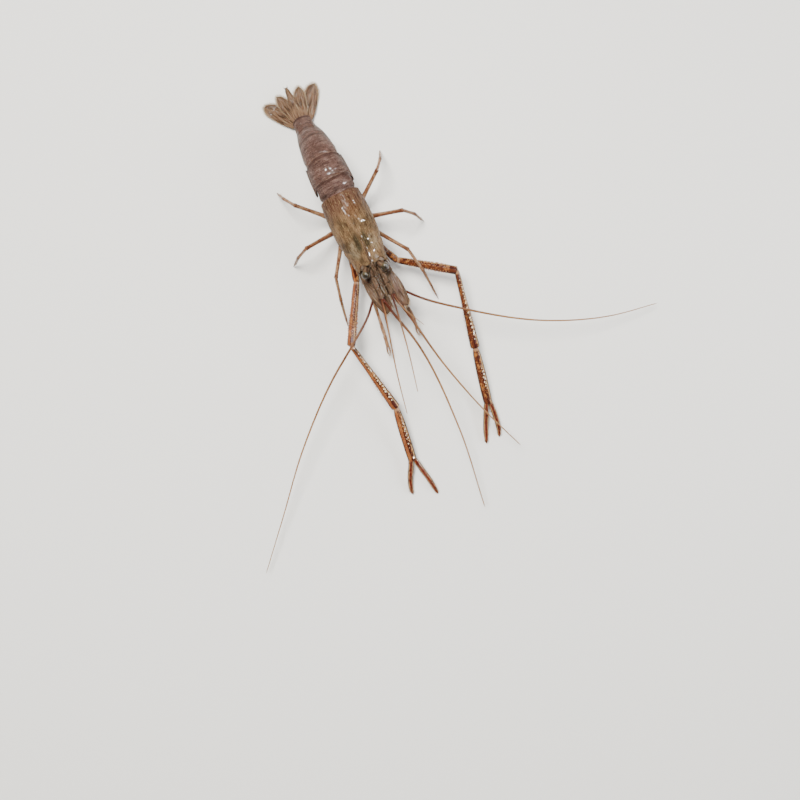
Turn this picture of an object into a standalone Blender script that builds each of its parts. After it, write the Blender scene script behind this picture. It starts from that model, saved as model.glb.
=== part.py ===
"""An oriental river prawn, life size: a still model that stands on its six walking legs, head towards -Y.

The long arms (second legs) reach forward, each with its elbow out, the back arches down to the tail fan, and
the feelers sweep out in front. Every size below is a real one in millimetres. new_node() turns it into metres.
"""

import math

import bmesh
import bpy
import numpy as np
from mathutils import Vector

MM = 0.001
GAP = 0.3  # clearance between neighbouring pieces
TAIL_GAP = 0.4  # clearance between tail rings on the centre line: less on the belly, where they crowd together

# Head and chest shield (carapace). y = 0 is the line through both eyes.
SHIELD_FRONT_Y = 1.5
SHIELD_REAR_Y = 20.7
SHIELD_LENGTH = SHIELD_REAR_Y - SHIELD_FRONT_Y
SHIELD_STATIONS = (0.0, 0.12, 0.3, 0.5, 0.75, 0.9, 1.0)  # shares of the length, from the front
SHIELD_HALF_WIDTHS = (4.1, 4.5, 5.05, 5.45, 5.5, 5.35, 5.1)
SHIELD_TOPS = (18.2, 18.7, 19.2, 19.6, 19.8, 19.7, 19.4)
SHIELD_MARGINS = (11.0, 10.2, 9.4, 8.8, 8.4, 8.7, 9.7)  # height of the lower edge
SHIELD_EDGE_ANGLE = math.radians(130)  # from the top of a section to its lower edge
SHIELD_WAIST = 0.48  # height of the widest place, as a share of the section
SHIELD_RIM = 0.8  # thickness of the lower edge
SHIELD_RECESS = 1.3  # depth of the hollow under the shield that the chest fills
SHIELD_RECESS_SLANT = 0.15  # how much narrower the hollow is at its top
CHEST_SPAN = (0.1, 0.95)  # front and rear end of the chest, as shares of the shield's length
CHEST_DROP = 0.3  # how far its floor lies below the shield's lower edge
CHEST_BEVEL = (0.7, 0.5)  # width and height of the slope along the floor's edges
CHEEK_SPINES = (((3.75, 2.6, 14.9), (4.3, 0.1, 14.9)), ((4.5, 4.9, 13.4), (5.25, 2.9, 13.3)))  # root and tip
CHEEK_SPINE_RADIUS = 0.42

# Beak between the eyes (rostrum)
BEAK_TIP_Y = -10.8
BEAK_ROOT_Y = 9.0
BEAK_UPPER_TEETH = 12
BEAK_LOWER_TEETH = 3
BEAK_HALF_THICKNESS = 0.55
BEAK_TIP_SHARE = 0.35  # of the thickness that is left at the tip
# Heights of the blade's edges, at shares of the way from its root to its tip
BEAK_UPPER_EDGE = ((0.0, 0.35, 0.6, 0.85, 1.0), (19.2, 19.6, 19.7, 19.3, 18.9))
BEAK_LOWER_EDGE = ((0.38, 0.6, 0.8, 1.0), (17.0, 16.9, 17.9, 18.7))
BEAK_TOOTH_RADIUS = 0.34
BEAK_TOOTH_LEAN = 1.0  # how far each tooth's tip lies ahead of its root

# Tail (abdomen): six rings, then the tail spike and two pairs of fan blades
TAIL_START_Z = 15.1
RING_LENGTHS = (3.4, 5.0, 6.0, 4.4, 4.0, 6.4)
# Downward slope in degrees where each ring starts, and where the last one ends
RING_SLOPES = (0.0, -5.0, 9.0, 36.0, 50.0, 52.0, 22.0)
RING_HALF_WIDTHS = (4.95, 4.85, 4.6, 4.05, 3.55, 3.0, 2.45)
RING_RISES = (4.5, 4.75, 4.75, 4.1, 3.5, 2.85, 1.9)  # from the centre line up to the back
FLAP_DROPS = (4.4, 5.5, 5.0, 4.4, 3.7, 2.3)  # from the centre line down to the tip of each side flap
BELLY_DROPS = (2.7, 2.7, 2.6, 2.3, 2.1, 1.7, 1.3)  # from the centre line down to the belly
FLAP_THICKNESS = 0.6
FLAP_SHORTEST = 0.5  # how far a flap reaches below the belly at its front and back
BIG_FLAP_OVERHANG = 1.25  # the second ring's flaps lie over the rings before and behind them by this much
BIG_FLAP_TOP = 0.6  # from the centre line up to the flap's root
BIG_FLAP_THICKNESS = 0.55
BIG_FLAP_SINK = 0.22  # how far the flap's inner face lies inside the ring's own side
FLAP_INSET = 0.62  # how far the neighbours' sides draw in under it
SIDE_TAPER = 0.14  # how much a ring's side draws in towards its lower edge, as a share of its half width
RING_BULGE = 0.02  # how much wider a ring is in its middle than at its ends
RING_EDGE_ANGLE = math.radians(122)  # from the top of a ring's section to its lower edge
SWIMMERET_REACHES = (5.4, 6.0, 5.6, 4.2, 2.8)
SWIMMERET_LEANS = (0.5, 0.7, 0.9, 1.1, 1.2)  # how far each goes backwards for each millimetre down
SWIMMERET_PLACE = 0.38  # from the middle to its root, as a share of the ring's half width
SWIMMERET_LEAVES = ((0.42, 1.0), (-0.42, 0.86))  # each leaf's place across, and its share of the length
SPIKE_LENGTH = 9.2
FAN_BLADE_LENGTHS = (9.0, 10.2)  # inner and outer blade
FAN_BLADE_WIDTHS = (2.7, 3.6)
FAN_BLADE_ANGLES = (13.0, 33.0)  # spread from the middle, in degrees
# Shares of a blade's width on each side of its middle line, at shares of its length
FAN_OUTER_WIDTHS = ((0, 0.25, 0.8, 1), (0.16, 0.36, 0.42, 0.16))
FAN_INNER_WIDTHS = ((0, 0.25, 0.7, 1), (0.16, 0.4, 0.56, 0.2))
# Spike, inner and outer blade: how far the root is above the tail's centre line, and how high the tip is
FAN_LEVELS = ((1.0, 2.55), (-0.3, 1.6), (-1.35, 0.65))

# Where each leg's hip stands under the chest: y and radius
HIPS = {
    "jaw_leg": (5.0, 0.6),
    "leg1": (7.5, 0.66),
    "arm": (10.2, 1.0),
    "leg3": (13.2, 0.82),
    "leg4": (15.8, 0.82),
    "leg5": (18.3, 0.82),
}
HIP_INSETS = {"jaw_leg": 0.9, "leg1": 0.5}  # how much closer to the middle than the shield's edge lets it be
HIP_DROP = 1.2  # from the shield's lower edge down to the hip's end

# The first bend below a hip: out from the middle, y, and down from the hip's end
ARM_BEND = (3.5, 8.6, 2.2)
FIRST_LEG_BEND = (2.5, 5.4, 2.1)
JAW_LEG_BENDS = ((1.5, 3.4, 6.9), (2.1, 1.2, 7.3), (2.1, -2.0, 8.8), (1.4, -5.2, 9.8), (0.9, -7.8, 9.4))

# Radii along each piece of a limb, from its root
ROOT_SHARE = 0.68  # of the hip's radius, where a leg starts
UPPER_ARM_RADII = (0.84, 0.8, 0.88, 0.9, 0.98, 1.1, 0.95)
FOREARM_RADII = (0.72, 0.7, 0.74, 0.92, 1.2, 1.16, 0.9)
PALM_RADII = (0.82, 1.1, 1.2, 1.22, 1.15, 0.98)
PALM_FLATTEN = 0.85
FIXED_FINGER_RADII = (0.62, 0.56, 0.68, 0.56, 0.3)
THUMB_RADII = (0.5, 0.6, 0.64, 0.54, 0.3)
FIRST_LEG_RADII = (0.5, 0.44, 0.46, 0.42, 0.4, 0.46, 0.46, 0.42, 0.14)
NIPPER_RADII = (0.3, 0.24, 0.14)
JAW_LEG_RADII = (0.52, 0.55, 0.5, 0.42, 0.2)
THIGH_RADII = (0.6, 0.55, 0.52, 0.56, 0.5)
SHANK_RADII = (0.46, 0.44, 0.5, 0.42, 0.4, 0.4, 0.34, 0.22)

# Arm joints, right and left as they are held: (x, y, z)
ARMS = {
    "right": {
        "knuckle": (-5.2, 0.8, 6.6),
        "elbow": (-13.6, -13.8, 8.8),
        "wrist": (-10.1, -33.1, 5.6),
        "palm_end": (-12.1, -47.4, 2.6),
        "thumb_tip": (-9.9, -58.7, 0.62),
        "finger_tip": (-16.0, -56.0, 0.62),
    },
    "left": {
        "knuckle": (6.6, 1.4, 6.4),
        "elbow": (19.2, -8.0, 8.6),
        "wrist": (15.3, -27.9, 5.6),
        "palm_end": (12.4, -42.4, 2.6),
        "thumb_tip": (7.5, -52.2, 0.62),
        "finger_tip": (11.3, -52.0, 0.62),
    },
}

# Walking legs: bend under the body, knee, ankle, and foot on the floor
WALKING_LEGS = {
    ("leg3", "left"): ((4.5, 11.6, 4.9), (10.0, 1.7, 12.2), (11.4, -4.6, 9.4), (12.6, -12.0, 0.0)),
    ("leg3", "right"): ((-4.5, 11.8, 4.9), (-9.6, 3.2, 11.4), (-11.0, -2.2, 7.6), (-12.4, -8.6, 0.0)),
    ("leg4", "left"): ((4.9, 15.0, 4.9), (13.0, 11.2, 12.6), (15.8, 9.9, 8.0), (18.0, 8.4, 0.0)),
    ("leg4", "right"): ((-4.9, 15.1, 4.9), (-13.2, 13.0, 12.4), (-16.2, 12.6, 7.9), (-18.6, 12.4, 0.0)),
    ("leg5", "left"): ((4.6, 19.2, 5.0), (11.6, 23.4, 11.8), (13.9, 26.6, 7.8), (15.6, 30.6, 0.0)),
    ("leg5", "right"): ((-4.6, 19.3, 5.0), (-11.2, 24.4, 11.6), (-13.0, 28.0, 7.6), (-14.2, 32.2, 0.0)),
}

# First legs, thin with a small nipper: elbow, wrist, nipper tip
FIRST_LEGS = {
    "right": ((-3.4, -5.6, 7.4), (-4.6, -14.8, 5.0), (-5.6, -20.2, 3.4)),
    "left": ((3.2, -4.8, 7.6), (4.2, -13.4, 4.6), (3.7, -18.6, 3.2)),
}

# Feelers as they lie: points that each runs through
LONG_FEELERS = {
    "right": (
        (-3.4, -5.8, 11.5),
        (-6.6, -9.3, 12.1),
        (-12.4, -13.6, 12.6),
        (-21.7, -20.0, 12.2),
        (-36.5, -32.8, 9.0),
        (-49.0, -46.2, 5.0),
        (-60.0, -58.0, 2.6),
    ),
    "left": (
        (3.5, -5.8, 11.5),
        (7.4, -10.4, 12.1),
        (16.2, -17.9, 12.5),
        (33.0, -29.0, 10.6),
        (50.0, -35.5, 6.6),
        (64.0, -38.0, 3.0),
    ),
}
OUTER_FEELERS = {
    "right": ((-1.4, -6.2, 14.3), (-0.5, -11.0, 14.3), (1.4, -18.6, 14.0), (2.3, -44.8, 9.4), (-0.3, -66.8, 4.0)),
    "left": ((1.4, -6.2, 14.3), (2.8, -13.0, 14.2), (5.6, -28.0, 12.4), (9.6, -42.0, 9.8), (15.0, -56.0, 6.0)),
}
INNER_FEELERS = {
    "right": ((-1.4, -6.2, 14.3), (-3.2, -14.0, 13.8), (-6.2, -26.0, 11.6), (-8.2, -36.0, 8.6)),
    "left": ((1.4, -6.2, 14.3), (0.4, -13.0, 15.2), (-1.2, -22.0, 15.4), (-3.4, -32.0, 14.0)),
}
SHORT_FEELERS = {
    "right": ((-1.4, -6.2, 14.3), (-2.4, -11.5, 15.4), (-4.4, -18.0, 15.8)),
    "left": ((1.4, -6.2, 14.3), (2.4, -11.5, 15.5), (5.2, -17.5, 16.0)),
}
FEELER_TIP_RADIUS = 0.2
SMALL_FEELER_RADII = (0.45, 0.38, 0.32)  # outer, inner and short whip at the root
SMALL_FEELER_STEPS = (2.6, 2.6, 2.4)
LONG_FEELER_RADIUS = 0.38
LONG_FEELER_COLLAR = 0.52  # radius of the joint that the whip starts from
LONG_FEELER_COLLAR_Y = -5.8  # where that joint ends
LONG_FEELER_START = (2.75, 11.75)  # out from the middle, and height
LONG_FEELER_RINGS = 42
# Stalk of the small feelers and root of the long ones: out from the middle, y, and height
FEELER_STALK = ((1.35, 1.2, 14.6), (1.4, -1.2, 14.55), (1.4, -4.0, 14.4), (1.4, -6.9, 14.3))
FEELER_STALK_RADII = (0.95, 0.95, 0.82, 0.72)
FEELER_STALK_FLATTEN = 0.85
FEELER_ROOT = ((2.85, 1.2, 12.35), (2.95, 0.2, 12.35), (3.0, -1.3, 12.3))
FEELER_ROOT_RADII = (1.0, 1.15, 1.1)
FEELER_ROOT_END_Y = FEELER_ROOT[-1][1]

# Antennal scales: length, width, turn outwards in degrees
SCALE_LENGTH = 9.3
SCALE_WIDTH = 3.5
SCALE_TURNS = {"right": -11.0, "left": 3.0}
SCALE_ROOT = (3.4, 13.0)  # out from the middle, and height
# Shares of its width on each side of its middle line, at shares of its length
SCALE_OUTER_WIDTHS = ((0, 0.2, 0.8, 1), (0.16, 0.3, 0.3, 0.1))
SCALE_INNER_WIDTHS = ((0, 0.2, 0.55, 0.85, 1), (0.16, 0.42, 0.68, 0.56, 0.16))
SCALE_RISE = 0.25  # from its root to its tip
SCALE_THORN_PLACE = (0.8, 0.24)  # shares of its length and width
SCALE_THORN_LENGTH = 1.5

EYE_CENTRE = (2.6, -0.2, 16.9)  # on the left side
EYE_RADIUS = 1.1
EYE_STALK_RADII = (0.62, 0.72, 0.8)

# Spines along the arms: how many to a row, and the rows' places round the piece in degrees from its upper side
ARM_SPINE_ROWS = (-95.0, -38.0, 38.0, 95.0)
ARM_SPINES_UPPER = 7
ARM_SPINES_FOREARM = 7
ARM_SPINES_PALM = 5
ARM_SPINE_RADIUS = 0.26
ARM_SPINE_HEIGHT = 0.36
ARM_SPINE_SINK = 0.32
ARM_SPINE_LEAN = 0.3
CLAW_TOOTH_RADIUS = 0.3

SIDES = {"right": -1.0, "left": 1.0}


def clear_scene():
    for obj in list(bpy.data.objects):
        bpy.data.objects.remove(obj)


def surface(name, colour, roughness):
    """A Principled material of this colour and roughness."""
    material = bpy.data.materials.new(name)
    material.use_nodes = True
    shader = material.node_tree.nodes["Principled BSDF"]
    shader.inputs["Base Color"].default_value = (*colour, 1.0)
    shader.inputs["Roughness"].default_value = roughness
    shader.inputs["Metallic"].default_value = 0.0
    return material


def smooth_value(stations, values, at):
    """The value at one station, on a smooth curve through the given ones (a cubic that never overshoots much)."""
    stations = np.asarray(stations, float)
    values = np.asarray(values, float)
    slopes = np.gradient(values, stations)
    i = int(np.clip(np.searchsorted(stations, at) - 1, 0, len(stations) - 2))
    span = stations[i + 1] - stations[i]
    t = min(1.0, max(0.0, (at - stations[i]) / span))
    return (
        (2 * t**3 - 3 * t**2 + 1) * values[i]
        + (t**3 - 2 * t**2 + t) * span * slopes[i]
        + (-2 * t**3 + 3 * t**2) * values[i + 1]
        + (t**3 - t**2) * span * slopes[i + 1]
    )


def smooth_path(points, count):
    """count points evenly along one smooth curve through the given points."""
    points = [Vector(p) for p in points]
    along = [0.0]
    for a, b in zip(points, points[1:]):
        along.append(along[-1] + (b - a).length)
    places = np.linspace(0.0, along[-1], count)
    return [Vector([smooth_value(along, [p[k] for p in points], s) for k in range(3)]) for s in places]


def cap_hollow(bm, loop):
    """Closes an arch-shaped section. Its last four points run round the hollow under it, and the middle two of
    these, the hollow's upper corners, each see every point of their own half."""
    arch = loop[:-4]
    top = len(arch) // 2
    right_tip, right_corner, left_corner, left_tip = loop[-4:]
    for k in range(top, len(arch) - 1):
        bm.faces.new((right_corner, arch[k + 1], arch[k]))
    for k in range(top):
        bm.faces.new((left_corner, arch[k + 1], arch[k]))
    bm.faces.new((right_corner, right_tip, arch[-1]))
    bm.faces.new((left_corner, arch[0], left_tip))
    bm.faces.new((right_corner, arch[top], left_corner))


def loft(rings, hollow=False):
    """A closed mesh through rings of equally many points, its ends capped."""
    bm = bmesh.new()
    loops = [[bm.verts.new(p) for p in ring] for ring in rings]
    count = len(loops[0])
    for a, b in zip(loops, loops[1:]):
        for k in range(count):
            m = (k + 1) % count
            bm.faces.new((a[k], a[m], b[m]))
            bm.faces.new((a[k], b[m], b[k]))
    if hollow:
        cap_hollow(bm, loops[0])
        cap_hollow(bm, loops[-1])
    else:
        bmesh.ops.triangulate(bm, faces=[bm.faces.new(loops[0]), bm.faces.new(loops[-1])])
    bmesh.ops.recalc_face_normals(bm, faces=bm.faces)
    return bm


def tube(path, radii, sides=8, flatten=1.0, start_normal=None, end_normal=None, across=(0, 0, 1)):
    """A closed tube along path. Each ring is an ellipse: radius sideways, and radius times flatten along across.
    An end with a normal is cut square to it, as at a joint or on the floor."""
    path = [Vector(p) for p in path]
    last = len(path) - 1
    rings = []
    up = Vector(across)
    for i, centre in enumerate(path):
        way_in = (path[i] - path[i - 1]).normalized() if i else Vector()
        way_out = (path[i + 1] - path[i]).normalized() if i < last else Vector()
        ahead = (way_in + way_out).normalized()
        side = ahead.cross(up).normalized()
        up = side.cross(ahead).normalized()
        ring = []
        for k in range(sides):
            turn = 2 * math.pi * (k + 0.5) / sides
            offset = side * (radii[i] * math.cos(turn)) + up * (radii[i] * flatten * math.sin(turn))
            ring.append(centre + offset)
        normal = start_normal if i == 0 else end_normal if i == last else None
        if normal is not None:
            normal = Vector(normal).normalized()
            ring = [p - ahead * ((p - centre).dot(normal) / ahead.dot(normal)) for p in ring]
        rings.append(ring)
    return loft(rings)


def cone(root, tip, radius, sides=5):
    """A spine from a sunk root to a sharp tip."""
    bm = bmesh.new()
    root, tip = Vector(root), Vector(tip)
    ahead = (tip - root).normalized()
    side = ahead.orthogonal().normalized()
    up = ahead.cross(side)
    base = []
    for k in range(sides):
        turn = 2 * math.pi * k / sides
        base.append(bm.verts.new(root + (side * math.cos(turn) + up * math.sin(turn)) * radius))
    peak = bm.verts.new(tip)
    for k in range(sides):
        bm.faces.new((base[k], base[(k + 1) % sides], peak))
    bm.faces.new(base)
    bmesh.ops.recalc_face_normals(bm, faces=bm.faces)
    return bm


def close_plate(bm, tops, bottoms):
    """Faces for a plate between two grids of points, split alike on both sides, with a rim all round."""
    last, columns = len(tops) - 1, len(tops[0])
    for rows, flip in ((tops, False), (bottoms, True)):
        for i in range(last):
            for j in range(columns - 1):
                a, b, c, d = rows[i][j], rows[i][j + 1], rows[i + 1][j + 1], rows[i + 1][j]
                for face in ((a, b, c), (a, c, d)):
                    bm.faces.new(face[::-1] if flip else face)
    for i in range(last):
        for j in (0, columns - 1):
            a, b, c, d = tops[i][j], tops[i + 1][j], bottoms[i + 1][j], bottoms[i][j]
            bm.faces.new((a, b, c))
            bm.faces.new((a, c, d))
    for i in (0, last):
        for j in range(columns - 1):
            a, b, c, d = tops[i][j], tops[i][j + 1], bottoms[i][j + 1], bottoms[i][j]
            bm.faces.new((a, b, c))
            bm.faces.new((a, c, d))
    bmesh.ops.recalc_face_normals(bm, faces=bm.faces)


def blade(spine, across, half_widths, thickness, arch=0.0, ridge=0.0, columns=5):
    """A thin closed plate along spine: across is its sideways direction, arch its rise in the middle, and
    ridge the height of the ribs along it. half_widths holds (towards -across, towards +across) for each
    point of the spine."""
    spine = [Vector(p) for p in spine]
    across = Vector(across).normalized()
    last = len(spine) - 1
    shares = np.linspace(-1.0, 1.0, columns)
    bm = bmesh.new()
    tops, bottoms = [], []
    for i, centre in enumerate(spine):
        ahead = (spine[min(i + 1, last)] - spine[max(i - 1, 0)]).normalized()
        up = across.cross(ahead).normalized()
        up = up if up.z > 0 else -up
        top_row, bottom_row = [], []
        for j, share in enumerate(shares):
            width = half_widths[i][0] if share < 0 else half_widths[i][1]
            rib = ridge if j % 2 and i < last else 0.0
            middle = centre + across * (share * width) + up * (arch * (1 - share**2))
            top_row.append(bm.verts.new(middle + up * (thickness[i] / 2 + rib)))
            bottom_row.append(bm.verts.new(middle - up * (thickness[i] / 2)))
        tops.append(top_row)
        bottoms.append(bottom_row)
    close_plate(bm, tops, bottoms)
    return bm


def lerps(a, b, shares):
    """Points at these shares of the way from a to b."""
    return [a.lerp(b, share) for share in shares]


def at_side(side, place):
    """A point that is given for the left side, on either side."""
    return Vector((SIDES[side] * place[0], place[1], place[2]))


def ball(centre, radius, rings=8, sides=10):
    """A closed sphere with its poles along Z."""
    bm = bmesh.new()
    bmesh.ops.create_uvsphere(bm, u_segments=sides, v_segments=rings, radius=radius)
    bmesh.ops.translate(bm, verts=bm.verts, vec=Vector(centre))
    return bm


def spine_rows(start, end, start_radius, end_radius, count, flatten=1.0):
    """Short forward-leaning spines in lengthwise rows on a straight limb, their roots sunk in it."""
    start, end = Vector(start), Vector(end)
    ahead = (end - start).normalized()
    side = ahead.cross(Vector((0, 0, 1))).normalized()
    up = side.cross(ahead)
    spines = []
    for row, angle in enumerate(ARM_SPINE_ROWS):
        turn = math.radians(angle)
        for k in range(count):
            share = (k + 0.35 + 0.3 * (row % 2)) / count
            radius = start_radius + (end_radius - start_radius) * share
            outward = side * math.sin(turn) + up * (math.cos(turn) * flatten)
            foot = start.lerp(end, share) + outward * (radius - ARM_SPINE_SINK)
            size = 1.0 + 0.25 * math.sin(2.4 * k + row)
            height = ARM_SPINE_SINK + ARM_SPINE_HEIGHT * size
            tip = foot + outward.normalized() * height + ahead * ARM_SPINE_LEAN
            spines.append(cone(foot, tip, ARM_SPINE_RADIUS, 4))
    return spines


def new_node(name, bm, material):
    """Puts a mesh in millimetres into the scene as a named object in metres, shaded smooth with its sharp
    edges kept."""
    bmesh.ops.scale(bm, vec=(MM, MM, MM), verts=bm.verts)
    mesh = bpy.data.meshes.new(name)
    bm.to_mesh(mesh)
    bm.free()
    mesh.materials.append(material)
    mesh.shade_smooth()
    mesh.set_sharp_from_angle(angle=math.radians(50))
    obj = bpy.data.objects.new(name, mesh)
    bpy.context.scene.collection.objects.link(obj)
    return obj


def keep_largest(mesh):
    """Drops every closed surface of the mesh but the largest."""
    bm = bmesh.new()
    bm.from_mesh(mesh)
    unseen = set(bm.verts)
    shells = []
    while unseen:
        stack = [unseen.pop()]
        shell = list(stack)
        while stack:
            for edge in stack.pop().link_edges:
                for vert in edge.verts:
                    if vert in unseen:
                        unseen.remove(vert)
                        shell.append(vert)
                        stack.append(vert)
        shells.append(shell)
    shells.sort(key=len)
    for shell in shells[:-1]:
        bmesh.ops.delete(bm, geom=shell, context="VERTS")
    bm.to_mesh(mesh)
    bm.free()


def fused_node(name, body, additions, material):
    """One closed body: the union of a mesh and its additions."""
    base = new_node(name, body, material)
    extras = bpy.data.collections.new(name + "_additions")
    bpy.context.scene.collection.children.link(extras)
    for k, bm in enumerate(additions):
        piece = new_node(f"{name}_addition_{k}", bm, material)
        bpy.context.scene.collection.objects.unlink(piece)
        extras.objects.link(piece)
    union = base.modifiers.new("union", "BOOLEAN")
    union.operation = "UNION"
    union.operand_type = "COLLECTION"
    union.collection = extras
    union.solver = "MANIFOLD"
    graph = bpy.context.evaluated_depsgraph_get()
    joined = bpy.data.meshes.new_from_object(base.evaluated_get(graph))
    base.modifiers.clear()
    keep_largest(joined)
    base.data = joined
    joined.name = name
    joined.shade_smooth()
    joined.set_sharp_from_angle(angle=math.radians(50))
    for piece in list(extras.objects):
        bpy.data.objects.remove(piece)
    bpy.data.collections.remove(extras)
    return base


def shield_section(share):
    """Half width, top and lower edge of the shield at a share of its length."""
    return (
        smooth_value(SHIELD_STATIONS, SHIELD_HALF_WIDTHS, share),
        smooth_value(SHIELD_STATIONS, SHIELD_TOPS, share),
        smooth_value(SHIELD_STATIONS, SHIELD_MARGINS, share),
    )


def shield_share(y):
    return (y - SHIELD_FRONT_Y) / SHIELD_LENGTH


def shield_ring(share, points=19):
    """One section of the shield: an arch over the back, and the hollow for the chest underneath."""
    half_width, top, margin = shield_section(share)
    waist = margin + SHIELD_WAIST * (top - margin)
    drop = (waist - margin) / abs(math.cos(SHIELD_EDGE_ANGLE))
    y = SHIELD_FRONT_Y + share * SHIELD_LENGTH
    ring = []
    for turn in np.linspace(-SHIELD_EDGE_ANGLE, SHIELD_EDGE_ANGLE, points):
        rise = (top - waist) if abs(turn) <= math.pi / 2 else drop
        ring.append((half_width * math.sin(turn), y, waist + rise * math.cos(turn)))
    edge = half_width * math.sin(SHIELD_EDGE_ANGLE)
    recess = margin + SHIELD_RECESS
    inner = edge - SHIELD_RIM
    top_inner = inner - SHIELD_RECESS_SLANT
    ring += [(inner, y, margin), (top_inner, y, recess), (-top_inner, y, recess), (-inner, y, margin)]
    return ring


def beak_outline(y):
    """Lower and upper edge of the beak's blade at y."""
    ahead = (BEAK_ROOT_Y - y) / (BEAK_ROOT_Y - BEAK_TIP_Y)
    top_of_shield = shield_section(min(1.0, max(0.0, shield_share(y))))[1]
    upper = smooth_value(*BEAK_UPPER_EDGE, ahead)
    if y > SHIELD_FRONT_Y:
        return top_of_shield - 0.9, max(upper, top_of_shield + 0.1)
    lower = smooth_value(*BEAK_LOWER_EDGE, ahead)
    return lower, upper


def beak_pieces():
    """The beak's blade, its teeth above and below, and the two spines on each cheek."""
    free_length = SHIELD_FRONT_Y - BEAK_TIP_Y
    rings = []
    for y in np.linspace(BEAK_ROOT_Y, BEAK_TIP_Y, 15):
        lower, upper = beak_outline(y)
        waist = lower + 0.45 * (upper - lower)
        free_share = min(1.0, (y - BEAK_TIP_Y) / free_length)
        thick = BEAK_HALF_THICKNESS * (BEAK_TIP_SHARE + (1.0 - BEAK_TIP_SHARE) * free_share)
        thin = 0.45 * thick
        ring = ((0, lower), (thin, lower + 0.05), (thick, waist), (thin, upper - 0.05))
        mirrored = ((0, upper), (-thin, upper - 0.05), (-thick, waist), (-thin, lower + 0.05))
        rings.append([(x, y, z) for x, z in ring + mirrored])
    pieces = [loft(rings)]
    first_tooth_y, last_tooth_y = BEAK_ROOT_Y - 1.2, BEAK_TIP_Y + 2.2
    for k in range(BEAK_UPPER_TEETH):
        share = k / (BEAK_UPPER_TEETH - 1)
        y = first_tooth_y + share * (last_tooth_y - first_tooth_y)
        upper = beak_outline(y)[1]
        rise = 0.55 + 0.25 * math.sin(math.pi * share)
        root, tip = (0, y + 0.25, upper - 0.35), (0, y - BEAK_TOOTH_LEAN, upper + rise)
        pieces.append(cone(root, tip, BEAK_TOOTH_RADIUS))
    for k in range(BEAK_LOWER_TEETH):
        y = -3.0 - 2.3 * k
        lower = beak_outline(y)[0]
        root, tip = (0, y + 0.2, lower + 0.35), (0, y - BEAK_TOOTH_LEAN, lower - 0.55)
        pieces.append(cone(root, tip, BEAK_TOOTH_RADIUS))
    for side in SIDES:
        for root, tip in CHEEK_SPINES:
            pieces.append(cone(at_side(side, root), at_side(side, tip), CHEEK_SPINE_RADIUS))
    return pieces


def build_shield(material):
    rings = [shield_ring(share) for share in np.linspace(0.0, 1.0, 15)]
    fused_node("carapace", loft(rings, hollow=True), beak_pieces(), material)


def build_chest(material):
    """The underside between the legs, with a short hip for each of them."""
    rings = []
    bevel_width, bevel_height = CHEST_BEVEL
    for share in np.linspace(*CHEST_SPAN, 9):
        half_width, _, margin = shield_section(share)
        half = half_width * math.sin(SHIELD_EDGE_ANGLE) - SHIELD_RIM - SHIELD_RECESS_SLANT - GAP
        y = SHIELD_FRONT_Y + share * SHIELD_LENGTH
        high, low = margin + SHIELD_RECESS - GAP, margin - CHEST_DROP
        floor_half, edge = half - bevel_width, low + bevel_height
        outline = [(-half, high), (half, high), (half, edge), (floor_half, low), (-floor_half, low), (-half, edge)]
        rings.append([(x, y, z) for x, z in outline])
    hips = []
    for hip in HIPS:
        for side in SIDES:
            x, y, z, radius = hip_end(hip, side)
            hips.append(tube([(x, y, z + HIP_DROP + 0.5), (x, y, z)], [radius, radius], 9, across=(0, 1, 0)))
    fused_node("thorax", loft(rings), hips, material)


def hip_end(hip, side):
    """Centre and radius of the flat end of a hip."""
    y, radius = HIPS[hip]
    half_width, _, margin = shield_section(shield_share(y))
    reach = half_width * math.sin(SHIELD_EDGE_ANGLE) - SHIELD_RIM - GAP - HIP_INSETS.get(hip, 0.0) - radius
    return reach * SIDES[side], y, margin - HIP_DROP, radius


def leg_root(hip, side):
    """Where a leg starts, just under its hip, and its radius there."""
    x, y, z, radius = hip_end(hip, side)
    return Vector((x, y, z - GAP)), radius


def build_eye(side, material):
    x, y, z = EYE_CENTRE
    x *= SIDES[side]
    path = [(x * 0.56, SHIELD_FRONT_Y - GAP, z - 0.5), (x * 0.72, 0.6, z - 0.3), (x, y, z)]
    stalk = tube(path, EYE_STALK_RADII, start_normal=(0, 1, 0))
    fused_node(f"eye_{side}", stalk, [ball((x, y, z), EYE_RADIUS)], material)


def feeler(points, start_radius, end_radius, step, sides=6):
    """A whip that tapers from start_radius to end_radius, with a ring about every step."""
    length = sum((Vector(b) - Vector(a)).length for a, b in zip(points, points[1:]))
    path = smooth_path(points, max(4, round(length / step)))
    radii = np.linspace(start_radius, end_radius, len(path))
    return tube(path, radii, sides)


def build_antennule(side, material):
    """The small feeler: a stout stalk of three joints, then a long, a middling and a short whip."""
    path = [at_side(side, place) for place in FEELER_STALK]
    stalk = tube(path, FEELER_STALK_RADII, flatten=FEELER_STALK_FLATTEN, start_normal=(0, 1, 0))
    whips = []
    routes = (OUTER_FEELERS[side], INNER_FEELERS[side], SHORT_FEELERS[side])
    for route, radius, step in zip(routes, SMALL_FEELER_RADII, SMALL_FEELER_STEPS):
        whips.append(feeler(route, radius, FEELER_TIP_RADIUS, step, 5))
    fused_node(f"antennule_{side}", stalk, whips, material)


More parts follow.
